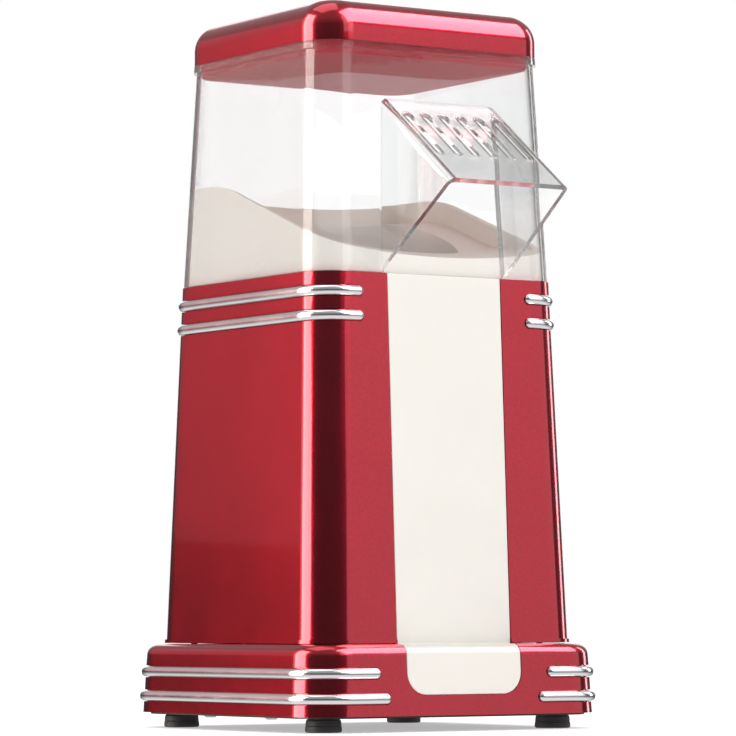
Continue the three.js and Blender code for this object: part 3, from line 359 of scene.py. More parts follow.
def copy_of(piece, name, shift=(0.0, 0.0, 0.0), mirrored=False):
    """A copy with its own mesh, moved or mirrored side to side."""
    only(piece)
    bpy.ops.object.duplicate()
    other = rename(bpy.context.object, name)
    other.location = shift
    if mirrored:
        other.scale.x = -1.0
    bpy.ops.object.transform_apply(location=True, rotation=True, scale=True)
    if mirrored:
        edit(other)
        face_outwards()
        done()
    return other


def complete(piece, body, nodes, slot, look=None, angle=32.0, ease=0.0):
    """Eases the sharp edges, shades the piece, paints it and sets it on its body."""
    if ease:
        apply(piece, "BEVEL", width=ease, segments=2, limit_method="ANGLE", angle_limit=math.radians(50))
    only(piece)
    bpy.ops.object.shade_smooth_by_angle(angle=math.radians(angle))
    apply(piece, "WEIGHTED_NORMAL", keep_sharp=True, weight=80)
    piece.data.materials.clear()
    piece.data.materials.append(shop(look or slot))
    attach(piece, body)
    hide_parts(*nodes)


# ---------- shapes that the pieces share ----------
def tapered_box(name, low, high, half, lean, corner, steps=12, centre_y=None):
    """A closed box whose sides lean in by `lean` on their way up, with rounded upright edges."""
    y = MIDDLE_Y if centre_y is None else centre_y
    box = add(bpy.ops.mesh.primitive_cube_add, name, size=1.0, location=(0.0, y, (low + high) / 2),
              scale=(2 * half[0], 2 * half[1], high - low))
    edit(box)
    pick("edges", upright)
    soften(corner, steps)
    pick("verts", lambda vert: abs(vert.co.z - high) < TINY)
    widen(1 - lean[0] / half[0], 1 - lean[1] / half[1], 1.0, (0.0, y, high))
    done()
    return box


def remove_faces(test):
    pick("faces", test)
    bpy.ops.mesh.delete(type="FACE")


def block(name, low, high):
    """A square cutting block between two corners."""
    low, high = Vector(low), Vector(high)
    return add(bpy.ops.mesh.primitive_cube_add, name, size=1.0, location=(low + high) / 2, scale=high - low)


def edge_run(name, half, profile):
    """A sheet as wide as 2 * half, drawn down a profile of (y, z) points, facing the front."""
    y, z = profile[0]
    sheet = add(bpy.ops.mesh.primitive_plane_add, name, size=2 * half, location=(0.0, y + half, z))
    edit(sheet)
    pick("verts", lambda vert: vert.co.y > y + half)
    bpy.ops.mesh.delete(type="VERT")
    take_all()
    for next_y, next_z in profile[1:]:
        push(y=next_y - y, z=next_z - z)
        y, z = next_y, next_z
    take_all()
    form = bmesh.from_edit_mesh(sheet.data)
    form.faces.ensure_lookup_table()
    form.normal_update()
    if sum(face.normal.y * face.calc_area() for face in form.faces) > 0:
        bpy.ops.mesh.flip_normals()
    done()
    return sheet


def turned(name, profile, steps=64):
    """A solid turned about Z from a closed profile of (radius, height) points."""
    piece = add(bpy.ops.mesh.primitive_plane_add, name, size=0.001,
                location=(profile[0][0], 0.0, profile[0][1]))
    edit(piece)
    take_all()
    bpy.ops.mesh.merge(type="CENTER")
    for (r0, z0), (r1, z1) in zip(profile, profile[1:] + profile[:1]):
        push(x=r1 - r0, z=z1 - z0)
    take_all()
    bpy.ops.mesh.remove_doubles(threshold=1e-7)
    take_all()
    bpy.ops.mesh.spin(steps=steps, angle=math.tau, center=(0, 0, 0), axis=(0, 0, 1))
    face_outwards()
    take_all()
    bpy.ops.mesh.dissolve_degenerate(threshold=1e-7)
    bpy.ops.mesh.delete_loose(use_verts=True, use_edges=True)
    done()
    return piece


def bar(name, z, half, corner, end_x, height, rise, sink, steps):
    """A half-round bar from the front, round the right-hand side and on to the back, with domed ends."""
    front, back = MIDDLE_Y - half[1], MIDDLE_Y + half[1]
    radius = height / 2
    piece = add(bpy.ops.mesh.primitive_circle_add, name, vertices=24, radius=radius, fill_type="NGON",
                location=(end_x, front, z), rotation=(0.0, math.pi / 2, 0.0))
    edit(piece)
    take_all()
    widen(1.0, rise / radius, 1.0, (end_x, front, z))
    bpy.ops.mesh.bisect(plane_co=(0.0, front + sink, 0.0), plane_no=(0.0, 1.0, 0.0), clear_outer=True)
    bpy.ops.mesh.select_mode(type="FACE")
    take_all()
    straight_x, straight_y = half[0] - corner - end_x, 2 * (half[1] - corner)
    push(x=straight_x)
    bpy.ops.mesh.spin(steps=steps, angle=-math.pi / 2, axis=(0, 0, 1),
                      center=(half[0] - corner, front + corner, z))
    push(y=straight_y)
    bpy.ops.mesh.spin(steps=steps, angle=-math.pi / 2, axis=(0, 0, 1),
                      center=(half[0] - corner, back - corner, z))
    push(x=-straight_x)
    dome((end_x, back, z), radius)
    pick("faces", lambda face: abs(middle(face).x - end_x) < TINY and middle(face).y < MIDDLE_Y
         and len(face.verts) > 6)
    dome((end_x, front, z), radius)
    face_outwards()
    done()
    return piece


def dome(centre, radius, steps=6):
    """Closes the selected end face with a ball, towards the machine's middle line."""
    x, y, z = centre
    for step in range(1, steps + 1):
        last, now = [(s / steps) * math.radians(88) for s in (step - 1, step)]
        push(x=radius * (math.sin(last) - math.sin(now)))
        x = centre[0] - radius * math.sin(now)
        share = math.cos(now) / math.cos(last)
        widen(1.0, share, share, (x, y, z))


def half_at(z, low, high, half, lean):
    """Half width and depth of a leaning wall at a height."""
    share = (z - low) / (high - low)
    return half[0] - lean[0] * share, half[1] - lean[1] * share


def rear_place(fitting):
    """Where the middle of a rear fitting meets the tower's rear wall, and how far that wall leans."""
    low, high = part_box(fitting)
    x, z = (low.x + high.x) / 2, (low.z + high.z) / 2
    tower = bpy.context.scene.popcorn_tower
    share = (z - BODY_LOW.z) / (BODY_HIGH.z - BODY_LOW.z)
    y = BODY_HIGH.y - tower.bead - tower.lean_y * share
    return Vector((x, y, z)), math.atan2(tower.lean_y, BODY_HIGH.z - BODY_LOW.z)


def lean_back(piece, fitting):
    """Sets a piece made at the origin, facing +Y, onto the rear wall where a fitting sits."""
    place, lean = rear_place(fitting)
    set_in(piece, place, (lean, 0.0, 0.0))


def turned_back(name, profile, steps, fitting):
    """A turned piece, laid down to face +Y and set onto the rear wall."""
    piece = turned(name, profile, steps)
    set_in(piece, turn=(-math.pi / 2, 0.0, 0.0))
    lean_back(piece, fitting)
    return piece


# ---------- finishes ----------
def feed(tree, socket, value):
    """Links another node's output to an input, or sets the input to a plain value."""
    if hasattr(value, "is_linked"):
        tree.links.new(value, socket)
    else:
        socket.default_value = value


def node(tree, kind, inputs=None, **settings):
    """Adds a node with its settings, and feeds its inputs by name or number."""
    made = tree.nodes.new(kind)
    for name, value in settings.items():
        setattr(made, name, value)
    for key, value in (inputs or {}).items():
        feed(tree, made.inputs[key], value)
    return made


def socket_kind(is_colour):
    return "NodeSocketColor" if is_colour else "NodeSocketFloat"


def effect(name, inputs, output):
    """A shader node group with start values for its inputs, and one output."""
    tree = bpy.data.node_groups.new(name, "ShaderNodeTree")
    for label, value in inputs.items():
        kind = socket_kind(isinstance(value, tuple))
        tree.interface.new_socket(label, in_out="INPUT", socket_type=kind).default_value = value
    tree.interface.new_socket(output, in_out="OUTPUT", socket_type=socket_kind(output == "Colour"))
    return tree, node(tree, "NodeGroupInput").outputs, node(tree, "NodeGroupOutput").inputs[output]


def object_place(tree):
    return node(tree, "ShaderNodeTexCoord").outputs["Object"]


def noise(tree, scale, detail=3.0, roughness=0.5):
    """A noise on object coordinates, whose scale is a number or another socket."""
    return node(tree, "ShaderNodeTexNoise", {
        "Vector": object_place(tree), "Scale": scale, "Detail": detail, "Roughness": roughness,
    }).outputs["Fac"]


def ranged(tree, value, low, high, to_low=0.0, to_high=1.0):
    """Maps one range onto another, and stops at its ends."""
    return node(tree, "ShaderNodeMapRange", {
        "Value": value, "From Min": low, "From Max": high, "To Min": to_low, "To Max": to_high,
    }).outputs["Result"]


def sum_of(tree, first, second, operation="ADD"):
    return node(tree, "ShaderNodeMath", {0: first, 1: second}, operation=operation).outputs["Value"]


def product_of(tree, first, second):
    return sum_of(tree, first, second, "MULTIPLY")


def larger_of(tree, first, second):
    return sum_of(tree, first, second, "MAXIMUM")


def blended(tree, share, first, second):
    """Goes from the first colour to the second by a share."""
    return node(tree, "ShaderNodeMix", {0: share, 6: first, 7: second}, data_type="RGBA").outputs[2]


def height_of(tree, vector):
    """The Z part of a vector."""
    return node(tree, "ShaderNodeSeparateXYZ", {"Vector": vector}).outputs["Z"]


def fine_grain():
    """Moulding grain or sanding marks, as a height."""
    tree, given, out = effect("Fine grain", {"Scale": 1500.0, "Coarse share": 0.3}, "Height")
    fine = noise(tree, given["Scale"], 3.0, 0.6)
    feed(tree, out, sum_of(tree, fine, product_of(tree, noise(tree, 60.0, 2.0), given["Coarse share"])))
    return tree


def colour_drift():
    """A colour that drifts a little over the surface."""
    tree, given, out = effect("Colour drift", {"Colour": (1, 1, 1, 1), "Second colour": (1, 1, 1, 1),
                                               "Scale": 25.0}, "Colour")
    share = ranged(tree, noise(tree, given["Scale"], 4.0, 0.6), 0.3, 0.7)
    feed(tree, out, blended(tree, share, given["Colour"], given["Second colour"]))
    return tree


def handling():
    """Roughness with faint smears from hands and cloths."""
    tree, given, out = effect("Handling marks", {"Roughness": 0.3, "Smeared": 0.4, "Scale": 30.0},
                              "Roughness")
    smears = ranged(tree, noise(tree, given["Scale"], 6.0, 0.7), 0.45, 0.75)
    feed(tree, out, ranged(tree, smears, 0.0, 1.0, given["Roughness"], given["Smeared"]))
    return tree


def resting_dust():
    """How much fine dust lies on the faces that look up."""
    tree, given, out = effect("Resting dust", {"Amount": 0.2}, "Dust")
    upward = ranged(tree, height_of(tree, node(tree, "ShaderNodeNewGeometry").outputs["Normal"]), 0.75, 1.0)
    specks = ranged(tree, noise(tree, 260.0, 8.0, 0.75), 0.42, 0.8)
    feed(tree, out, product_of(tree, product_of(tree, upward, specks), given["Amount"]))
    return tree


def metal_flake():
    """The glint of fine aluminium flake under candy lacquer, from random cells."""
    tree, given, out = effect("Metal flake", {"Scale": 2600.0}, "Glint")
    cells = node(tree, "ShaderNodeTexVoronoi", {"Vector": object_place(tree), "Scale": given["Scale"]})
    parts = node(tree, "ShaderNodeSeparateColor", {"Color": cells.outputs["Color"]})
    feed(tree, out, ranged(tree, parts.outputs["Red"], 0.55, 1.0))
    return tree


def brushing():
    """Fine lines drawn along X, as on spun or rolled metal."""
    tree, given, out = effect("Brushing", {"Scale": 900.0}, "Height")
    stretch = node(tree, "ShaderNodeMapping", {"Vector": object_place(tree), "Scale": (0.02, 1.0, 1.0)})
    feed(tree, out, node(tree, "ShaderNodeTexNoise", {
        "Vector": stretch.outputs["Vector"], "Scale": given["Scale"]}).outputs["Fac"])
    return tree


EFFECTS = {}


def place_effect(tree, maker, **values):
    """Places a shared effect in a material, with this material's own values."""
    if maker not in EFFECTS:
        EFFECTS[maker] = maker()
    values = {label.replace("_", " ").capitalize(): value for label, value in values.items()}
    return node(tree, "ShaderNodeGroup", values, node_tree=EFFECTS[maker]).outputs[0]


def toned(value, share):
    """A colour made lighter or darker."""
    return tuple(min(1.0, part * share) for part in value[:3]) + (1.0,)


def new_surface(name):
    """A new material, with its tree and its shader."""
    material = bpy.data.materials.new(name)
    material.use_nodes = True
    return material, material.node_tree, material.node_tree.nodes["Principled BSDF"]


def lift(tree, surface, height, distance):
    """Raises the surface by a height, as a bump."""
    bump = node(tree, "ShaderNodeBump", {"Height": height, "Distance": distance})
    feed(tree, surface.inputs["Normal"], bump.outputs["Normal"])


def finish(name, tint, roughness, metallic=0.0, drift=0.9, drift_scale=25.0, smear=0.08, grain=1500.0,
           bump=0.00002, dust=0.15, brushed=False, **shader):
    """A plain moulded, painted or metal finish with grain, drift of colour, handling marks and dust."""
    material, tree, surface = new_surface(name)
    surface.inputs["Metallic"].default_value = metallic
    for label, value in shader.items():
        surface.inputs[label.replace("_", " ")].default_value = value
    base = place_effect(tree, colour_drift, colour=toned(tint, 1.0), second_colour=toned(tint, drift),
                        scale=drift_scale)
    marks = place_effect(tree, handling, roughness=roughness, smeared=roughness + smear)
    specks = place_effect(tree, resting_dust, amount=dust)
    feed(tree, surface.inputs["Base Color"], blended(tree, specks, base, DUST))
    feed(tree, surface.inputs["Roughness"], sum_of(tree, marks, specks))
    lift(tree, surface, place_effect(tree, brushing if brushed else fine_grain, scale=grain), bump)
    return material


def red_lacquer(tint):
    """Candy lacquer: a red metal base with fine flake under a clear gloss coat."""
    material = finish("Red lacquer", tint, 0.2, metallic=1.0, drift=0.92, smear=0.03, grain=350.0,
                      bump=0.00001, dust=0.05, Coat_Weight=1.0, Coat_Roughness=0.03, Coat_IOR=1.5)
    tree = material.node_tree
    colour_in = tree.nodes["Principled BSDF"].inputs["Base Color"]
    glint = product_of(tree, place_effect(tree, metal_flake, scale=2600.0), FLAKE_SHARE)
    feed(tree, colour_in, blended(tree, glint, colour_in.links[0].from_socket, toned(tint, FLAKE_LIGHT)))
    return material


def red_moulding(tint):
    """Unlacquered red plastic, under the lid."""
    return finish("Red moulding", tint, 0.42, drift=0.93, smear=0.1, grain=1200.0, bump=0.00002, dust=0.05,
                  Specular_IOR_Level=0.3)


def clear_plastic(tint):
    """Clear moulded plastic with faint haze. Light passes it for shadows."""
    material, tree, surface = new_surface("Clear plastic")
    surface.inputs["Base Color"].default_value = (*tint, 1.0)
    surface.inputs["Transmission Weight"].default_value = 1.0
    surface.inputs["IOR"].default_value = 1.49
    surface.inputs["Alpha"].default_value = 0.87
    feed(tree, surface.inputs["Roughness"], place_effect(tree, handling, roughness=0.004, smeared=0.03,
                                                         scale=45.0))
    lift(tree, surface, place_effect(tree, fine_grain, scale=35.0), 0.00004)
    through = node(tree, "ShaderNodeBsdfTransparent", {"Color": (0.95, 0.95, 0.95, 1.0)})
    path = node(tree, "ShaderNodeLightPath").outputs
    mix = node(tree, "ShaderNodeMixShader", {
        0: larger_of(tree, path["Is Shadow Ray"], path["Is Diffuse Ray"]),
        1: surface.outputs["BSDF"], 2: through.outputs["BSDF"]})
    feed(tree, tree.nodes["Material Output"].inputs["Surface"], mix.outputs["Shader"])
    return material


def cream_plastic(tint):
    return finish("Cream plastic", tint, 0.34, drift=0.97, smear=0.08, grain=1400.0, bump=0.000012, dust=0.06,
                  Subsurface_Weight=0.12, Subsurface_Radius=(0.004, 0.003, 0.002), Subsurface_Scale=1.0,
                  IOR=1.5)


def bar_chrome(tint):
    return finish("Bar chrome", tint, 0.16, metallic=1.0, drift=0.95, smear=0.1, grain=700.0, bump=0.00001,
                  dust=0.05)


def foot_rubber(tint):
    return finish("Foot rubber", tint, 0.62, drift=1.6, smear=0.15, grain=1100.0, bump=0.00006, dust=0.3,
                  Sheen_Weight=0.15, Sheen_Roughness=0.4)


DUST = (0.62, 0.59, 0.55, 1.0)
FLAKE_SHARE = 0.28
FLAKE_LIGHT = 1.7  # how much lighter the flake is than the lacquer
OUTER_FINISHES = {  # the material slot: how it is made, and which colour of the sidebar it takes
    "red_shell": (red_lacquer, "lacquer"),
    "red_moulding": (red_moulding, "moulding"),
    "clear_plastic": (clear_plastic, "clear"),
    "cream_plastic": (cream_plastic, "cream"),
    "chrome_trim": (bar_chrome, "chrome"),
    "foot_rubber": (foot_rubber, "rubber"),
}
INNER_FINISHES = {  # the material slot: name, tint, roughness and what else differs
    "aluminium": ("Aluminium", (0.78, 0.78, 0.79), 0.28, dict(metallic=1.0, brushed=True, grain=900.0)),
    "steel": ("Plated steel", (0.52, 0.52, 0.53), 0.34, dict(metallic=1.0, grain=800.0, drift=0.8)),
    "phenolic": ("Phenolic", (0.075, 0.052, 0.042), 0.5, dict(drift=1.35, bump=0.00004)),
    "mica": ("Mica board", (0.50, 0.47, 0.41), 0.45, dict(drift=0.8, drift_scale=180.0, smear=0.2)),
    "copper": ("Copper winding", (0.62, 0.26, 0.14), 0.3, dict(metallic=1.0, grain=2200.0, bump=0.00006)),
    "circuit_board": ("Circuit board", (0.05, 0.17, 0.07), 0.4, dict(drift=0.7, drift_scale=90.0)),
    "wire_sleeve": ("Wire sleeve", (0.42, 0.02, 0.02), 0.42, dict(drift=0.85, bump=0.00003)),
    "black_plastic": ("Black plastic", (0.028, 0.028, 0.029), 0.38, dict(drift=1.3, bump=0.00004)),
}
FINISHES = {}


def shop(name):
    """The finish of a material slot, made the first time it is asked for."""
    if name not in FINISHES:
        if name in OUTER_FINISHES:
            make, tint = OUTER_FINISHES[name]
            FINISHES[name] = make(getattr(bpy.context.scene.popcorn_colours, tint))
        else:
            label, tint, roughness, more = INNER_FINISHES[name]
            FINISHES[name] = finish(label, tint, roughness, **more)
    return FINISHES[name]


# ---------- pieces ----------
def bar_rows():
    """Each row of chrome bars: name, height, wall outline, corner and where the bar ends."""
    scene = bpy.context.scene
    rows = []
    for name in ("plinth_trim_lower", "plinth_trim_upper", "body_trim_lower", "body_trim_upper"):
        low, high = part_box(name + "_right")
        z = (low.z + high.z) / 2
        if name.startswith("plinth"):
            half = half_at(z, PLINTH_LOW.z, PLINTH_HIGH.z,
                           (PLINTH_HIGH.x, PLINTH_HIGH.y - MIDDLE_Y), (scene.popcorn_plinth.lean,) * 2)
            corner = scene.popcorn_plinth.corner
        else:
            tower = scene.popcorn_tower
            half = half_at(z, BODY_LOW.z, BODY_HIGH.z, tower_half(), (tower.lean_x, tower.lean_y))
            corner = tower.corner
        rows.append((name, z, half, corner, low.x + scene.popcorn_bars.height / 2))
    return rows


def tower_half():
    bead = bpy.context.scene.popcorn_tower.bead
    return BODY_HIGH.x - bead, BODY_HIGH.y - MIDDLE_Y - bead


def cut_grooves(piece, prefix):
    """Sinks the grooves for the bars into a shell, on both sides."""
    bars = bpy.context.scene.popcorn_bars
    for name, z, half, corner, end_x in bar_rows():
        if not name.startswith(prefix):
            continue
        groove = bar("groove", z, half, corner, end_x, bars.height + 2 * bars.gap, 2 * bars.rise,
                     bars.sink + bars.gap, bars.steps)
        other = copy_of(groove, "other_groove", mirrored=True)
        carve(piece, groove)
        carve(piece, other)


def wall_profile(inset, low, high):
    """Points down the tower's front wall, `inset` behind its face."""
    tower = bpy.context.scene.popcorn_tower
    lean = (tower.lean_x, tower.lean_y)
    return [(MIDDLE_Y - half_at(z, BODY_LOW.z, BODY_HIGH.z, tower_half(), lean)[1] + inset, z)
            for z in (high, low)]


def plinth_profile(inset, low, start_y):
    """Points over the plinth's upper edge and down its front, `inset` behind its face."""
    sizes = bpy.context.scene.popcorn_plinth
    foot_half = PLINTH_HIGH.y - MIDDLE_Y

    def face(z):
        return MIDDLE_Y - half_at(z, PLINTH_LOW.z, PLINTH_HIGH.z, (1.0, foot_half),
                                  (0.0, sizes.lean))[1] + inset

    radius = sizes.edge - inset
    centre_z = PLINTH_HIGH.z - sizes.edge
    centre_y = face(centre_z) + radius
    points = [(start_y, PLINTH_HIGH.z - inset)]
    for step in range(9):
        angle = step / 8 * math.pi / 2
        points.append((centre_y - radius * math.sin(angle), centre_z + radius * math.cos(angle)))
    points.append((face(low), low))
    return points


class POPCORN_OT_tower(bpy.types.Operator):
    """Builds the tapered tower with its bead, panel recess, bar grooves and rear openings"""
    bl_idname = "popcorn.tower"
    bl_label = "Tower"

    def execute(self, context):
        sizes, panel = context.scene.popcorn_tower, context.scene.popcorn_panel
        low, high = BODY_LOW.z, BODY_HIGH.z
        tower = tapered_box("tower_shell", low, high, tower_half(), (sizes.lean_x, sizes.lean_y),
                            sizes.corner, sizes.corner_steps)
        edit(tower)
        remove_faces(level)
        take_all()
        bpy.ops.mesh.bisect(plane_co=(0, 0, low + sizes.bead_height), plane_no=(0, 0, 1))
        done()
        line_with_wall(tower, sizes.wall)
        edit(tower)
        pick("faces", lambda face: middle(face).z < low + sizes.bead_height and faces_out(face))
        stand_out(sizes.bead)
        done()
        recess = edge_run("recess", panel.half + panel.gap,
                          wall_profile(panel.depth + panel.gap, low - PAST, high + PAST))
        line_with_wall(recess, RECESS_CUT, outwards=True)
        carve(tower, recess)
        lip_half, lip_low = panel.half + panel.gap, high - panel.lip - panel.gap
        front = MIDDLE_Y - tower_half()[1]
        carve(tower, block("lip_cut", (-lip_half, front - 2 * PAST, lip_low),
                           (lip_half, front + sizes.lean_y + sizes.wall + 1.5 * PAST, high + PAST)))
        cut_grooves(tower, "body")
        opening = block("window_cut", *WINDOW_CUT)
        lean_back(opening, "switch_housing")
        carve(tower, opening)
        carve(tower, turned_back("gland_cut", GLAND_CUT, 32, "cord_gland"))
        complete(tower, "base", ["body_shell"], "red_shell", ease=0.0002)
        return {"FINISHED"}


class POPCORN_OT_plinth(bpy.types.Operator):
    """Builds the wider plinth with its rounded upper edge, panel recess and bar grooves"""
    bl_idname = "popcorn.plinth"
    bl_label = "Plinth"

    def execute(self, context):
        sizes, panel = context.scene.popcorn_plinth, context.scene.popcorn_panel
        low, high = PLINTH_LOW.z, PLINTH_HIGH.z
        plinth = tapered_box("plinth_shell", low, high, (PLINTH_HIGH.x, PLINTH_HIGH.y - MIDDLE_Y),
                             (sizes.lean, sizes.lean), sizes.corner, 16)
        edit(plinth)
        pick("edges", at_height(high))
        soften(sizes.edge, 8)
        remove_faces(lambda face: face.normal.z < -0.9)
        done()
        line_with_wall(plinth, sizes.wall)
        opening = tapered_box("opening_cut", high - OPENING_CUT, high + PAST,
                              (sizes.opening, sizes.opening), (0.0, 0.0), OPENING_CORNER, 4)
        carve(plinth, opening)
        inset = panel.depth + panel.gap
        recess = edge_run("recess", panel.half + panel.gap,
                          plinth_profile(inset, PANEL_LOW.z - panel.gap,
                                         MIDDLE_Y - sizes.opening - 2 * PAST))
        edit(recess)
        pick("verts", lambda vert: vert.co.z < PANEL_LOW.z)
        bpy.ops.mesh.bevel(offset=panel.corner + panel.gap, segments=10, affect="VERTICES")
        done()
        line_with_wall(recess, PLINTH_RECESS_CUT, outwards=True)
        carve(plinth, recess)
        cut_grooves(plinth, "plinth")
        complete(plinth, "base", ["plinth"], "red_shell", ease=0.0002)
        return {"FINISHED"}


class POPCORN_OT_front_panel(bpy.types.Operator):
    """Builds the cream panel that runs down the tower and over the plinth"""
    bl_idname = "popcorn.front_panel"
    bl_label = "Front panel"

    def execute(self, context):
        panel, tower = context.scene.popcorn_panel, context.scene.popcorn_tower
        lip_low = BODY_HIGH.z - panel.lip
        down = wall_profile(0.0, BODY_LOW.z, BODY_HIGH.z)
        share = panel.lip / (BODY_HIGH.z - BODY_LOW.z)
        down.insert(1, (down[0][0] + (down[1][0] - down[0][0]) * share, lip_low))
        profile = down + plinth_profile(0.0, PANEL_LOW.z, down[-1][0])
        piece = edge_run("front_panel_cover", panel.half, profile)
        edit(piece)
        pick("verts", lambda vert: vert.co.z < PANEL_LOW.z + TINY)
        bpy.ops.mesh.bevel(offset=panel.corner, segments=12, affect="VERTICES")
        done()
        line_with_wall(piece, panel.depth)
        edit(piece)
        pick("faces", lambda face: face.normal.y > 0.9 and middle(face).z > lip_low)
        push(y=tower.wall - panel.depth)
        done()
        complete(piece, "base", ["front_panel"], "cream_plastic", ease=0.0004)
        return {"FINISHED"}


class POPCORN_OT_bars(bpy.types.Operator):
    """Builds the eight chrome bars: one of each row, and its mirrored copy"""
    bl_idname = "popcorn.bars"
    bl_label = "Chrome bars"

    def execute(self, context):
        sizes = context.scene.popcorn_bars
        for name, z, half, corner, end_x in bar_rows():
            right = bar(name + "_chrome_right", z, half, corner, end_x, sizes.height, sizes.rise,
                        sizes.sink, sizes.steps)
            left = copy_of(right, name + "_chrome_left", mirrored=True)
            for piece, side in ((right, "_right"), (left, "_left")):
                complete(piece, "base", [name + side], "chrome_trim", angle=50.0)
        return {"FINISHED"}


class POPCORN_OT_lid(bpy.types.Operator):
    """Builds the lid with its soft upper edge, and the plug under it"""
    bl_idname = "popcorn.lid"
    bl_label = "Lid"

    def execute(self, context):
        sizes = context.scene.popcorn_lid
        half = (LID_HIGH.x, LID_HIGH.y - MIDDLE_Y)
        cap = tapered_box("lid_shell", LID_LOW.z, LID_HIGH.z, half, (0.0, 0.0), sizes.corner, 16)
        edit(cap)
        pick("edges", at_height(LID_HIGH.z))
        soften(sizes.edge, 10)
        remove_faces(lambda face: face.normal.z < -0.9)
        done()
        line_with_wall(cap, sizes.wall)
        complete(cap, "lid", ["lid_cap"], "red_shell", ease=0.0003)

        flange_low = INSERT_HIGH.z - sizes.flange
        plug = tapered_box("lid_plug", INSERT_LOW.z, flange_low, (sizes.plug_half_x, sizes.plug_half_y),
                           (0.0, 0.0), PLUG_CORNER, 12)
        edit(plug)
        pick("edges", at_height(INSERT_LOW.z))
        soften(PLUG_EDGE, 3)
        pick("faces", lambda face: face.normal.z > 0.9)
        push(z=TINY)
        flange_half = (INSERT_HIGH.x, INSERT_HIGH.y - MIDDLE_Y)
        widen(flange_half[0] / sizes.plug_half_x, flange_half[1] / sizes.plug_half_y, 1.0,
              (0.0, MIDDLE_Y, flange_low))
        push(z=sizes.flange - TINY)
        bpy.ops.mesh.inset(thickness=flange_half[0] - sizes.plug_half_x + sizes.wall)
        push(z=-(INSERT_HIGH.z - INSERT_LOW.z - sizes.wall))
        done()
        complete(plug, "lid", ["lid_insert"], "red_shell", look="red_moulding", ease=0.0002)
        return {"FINISHED"}


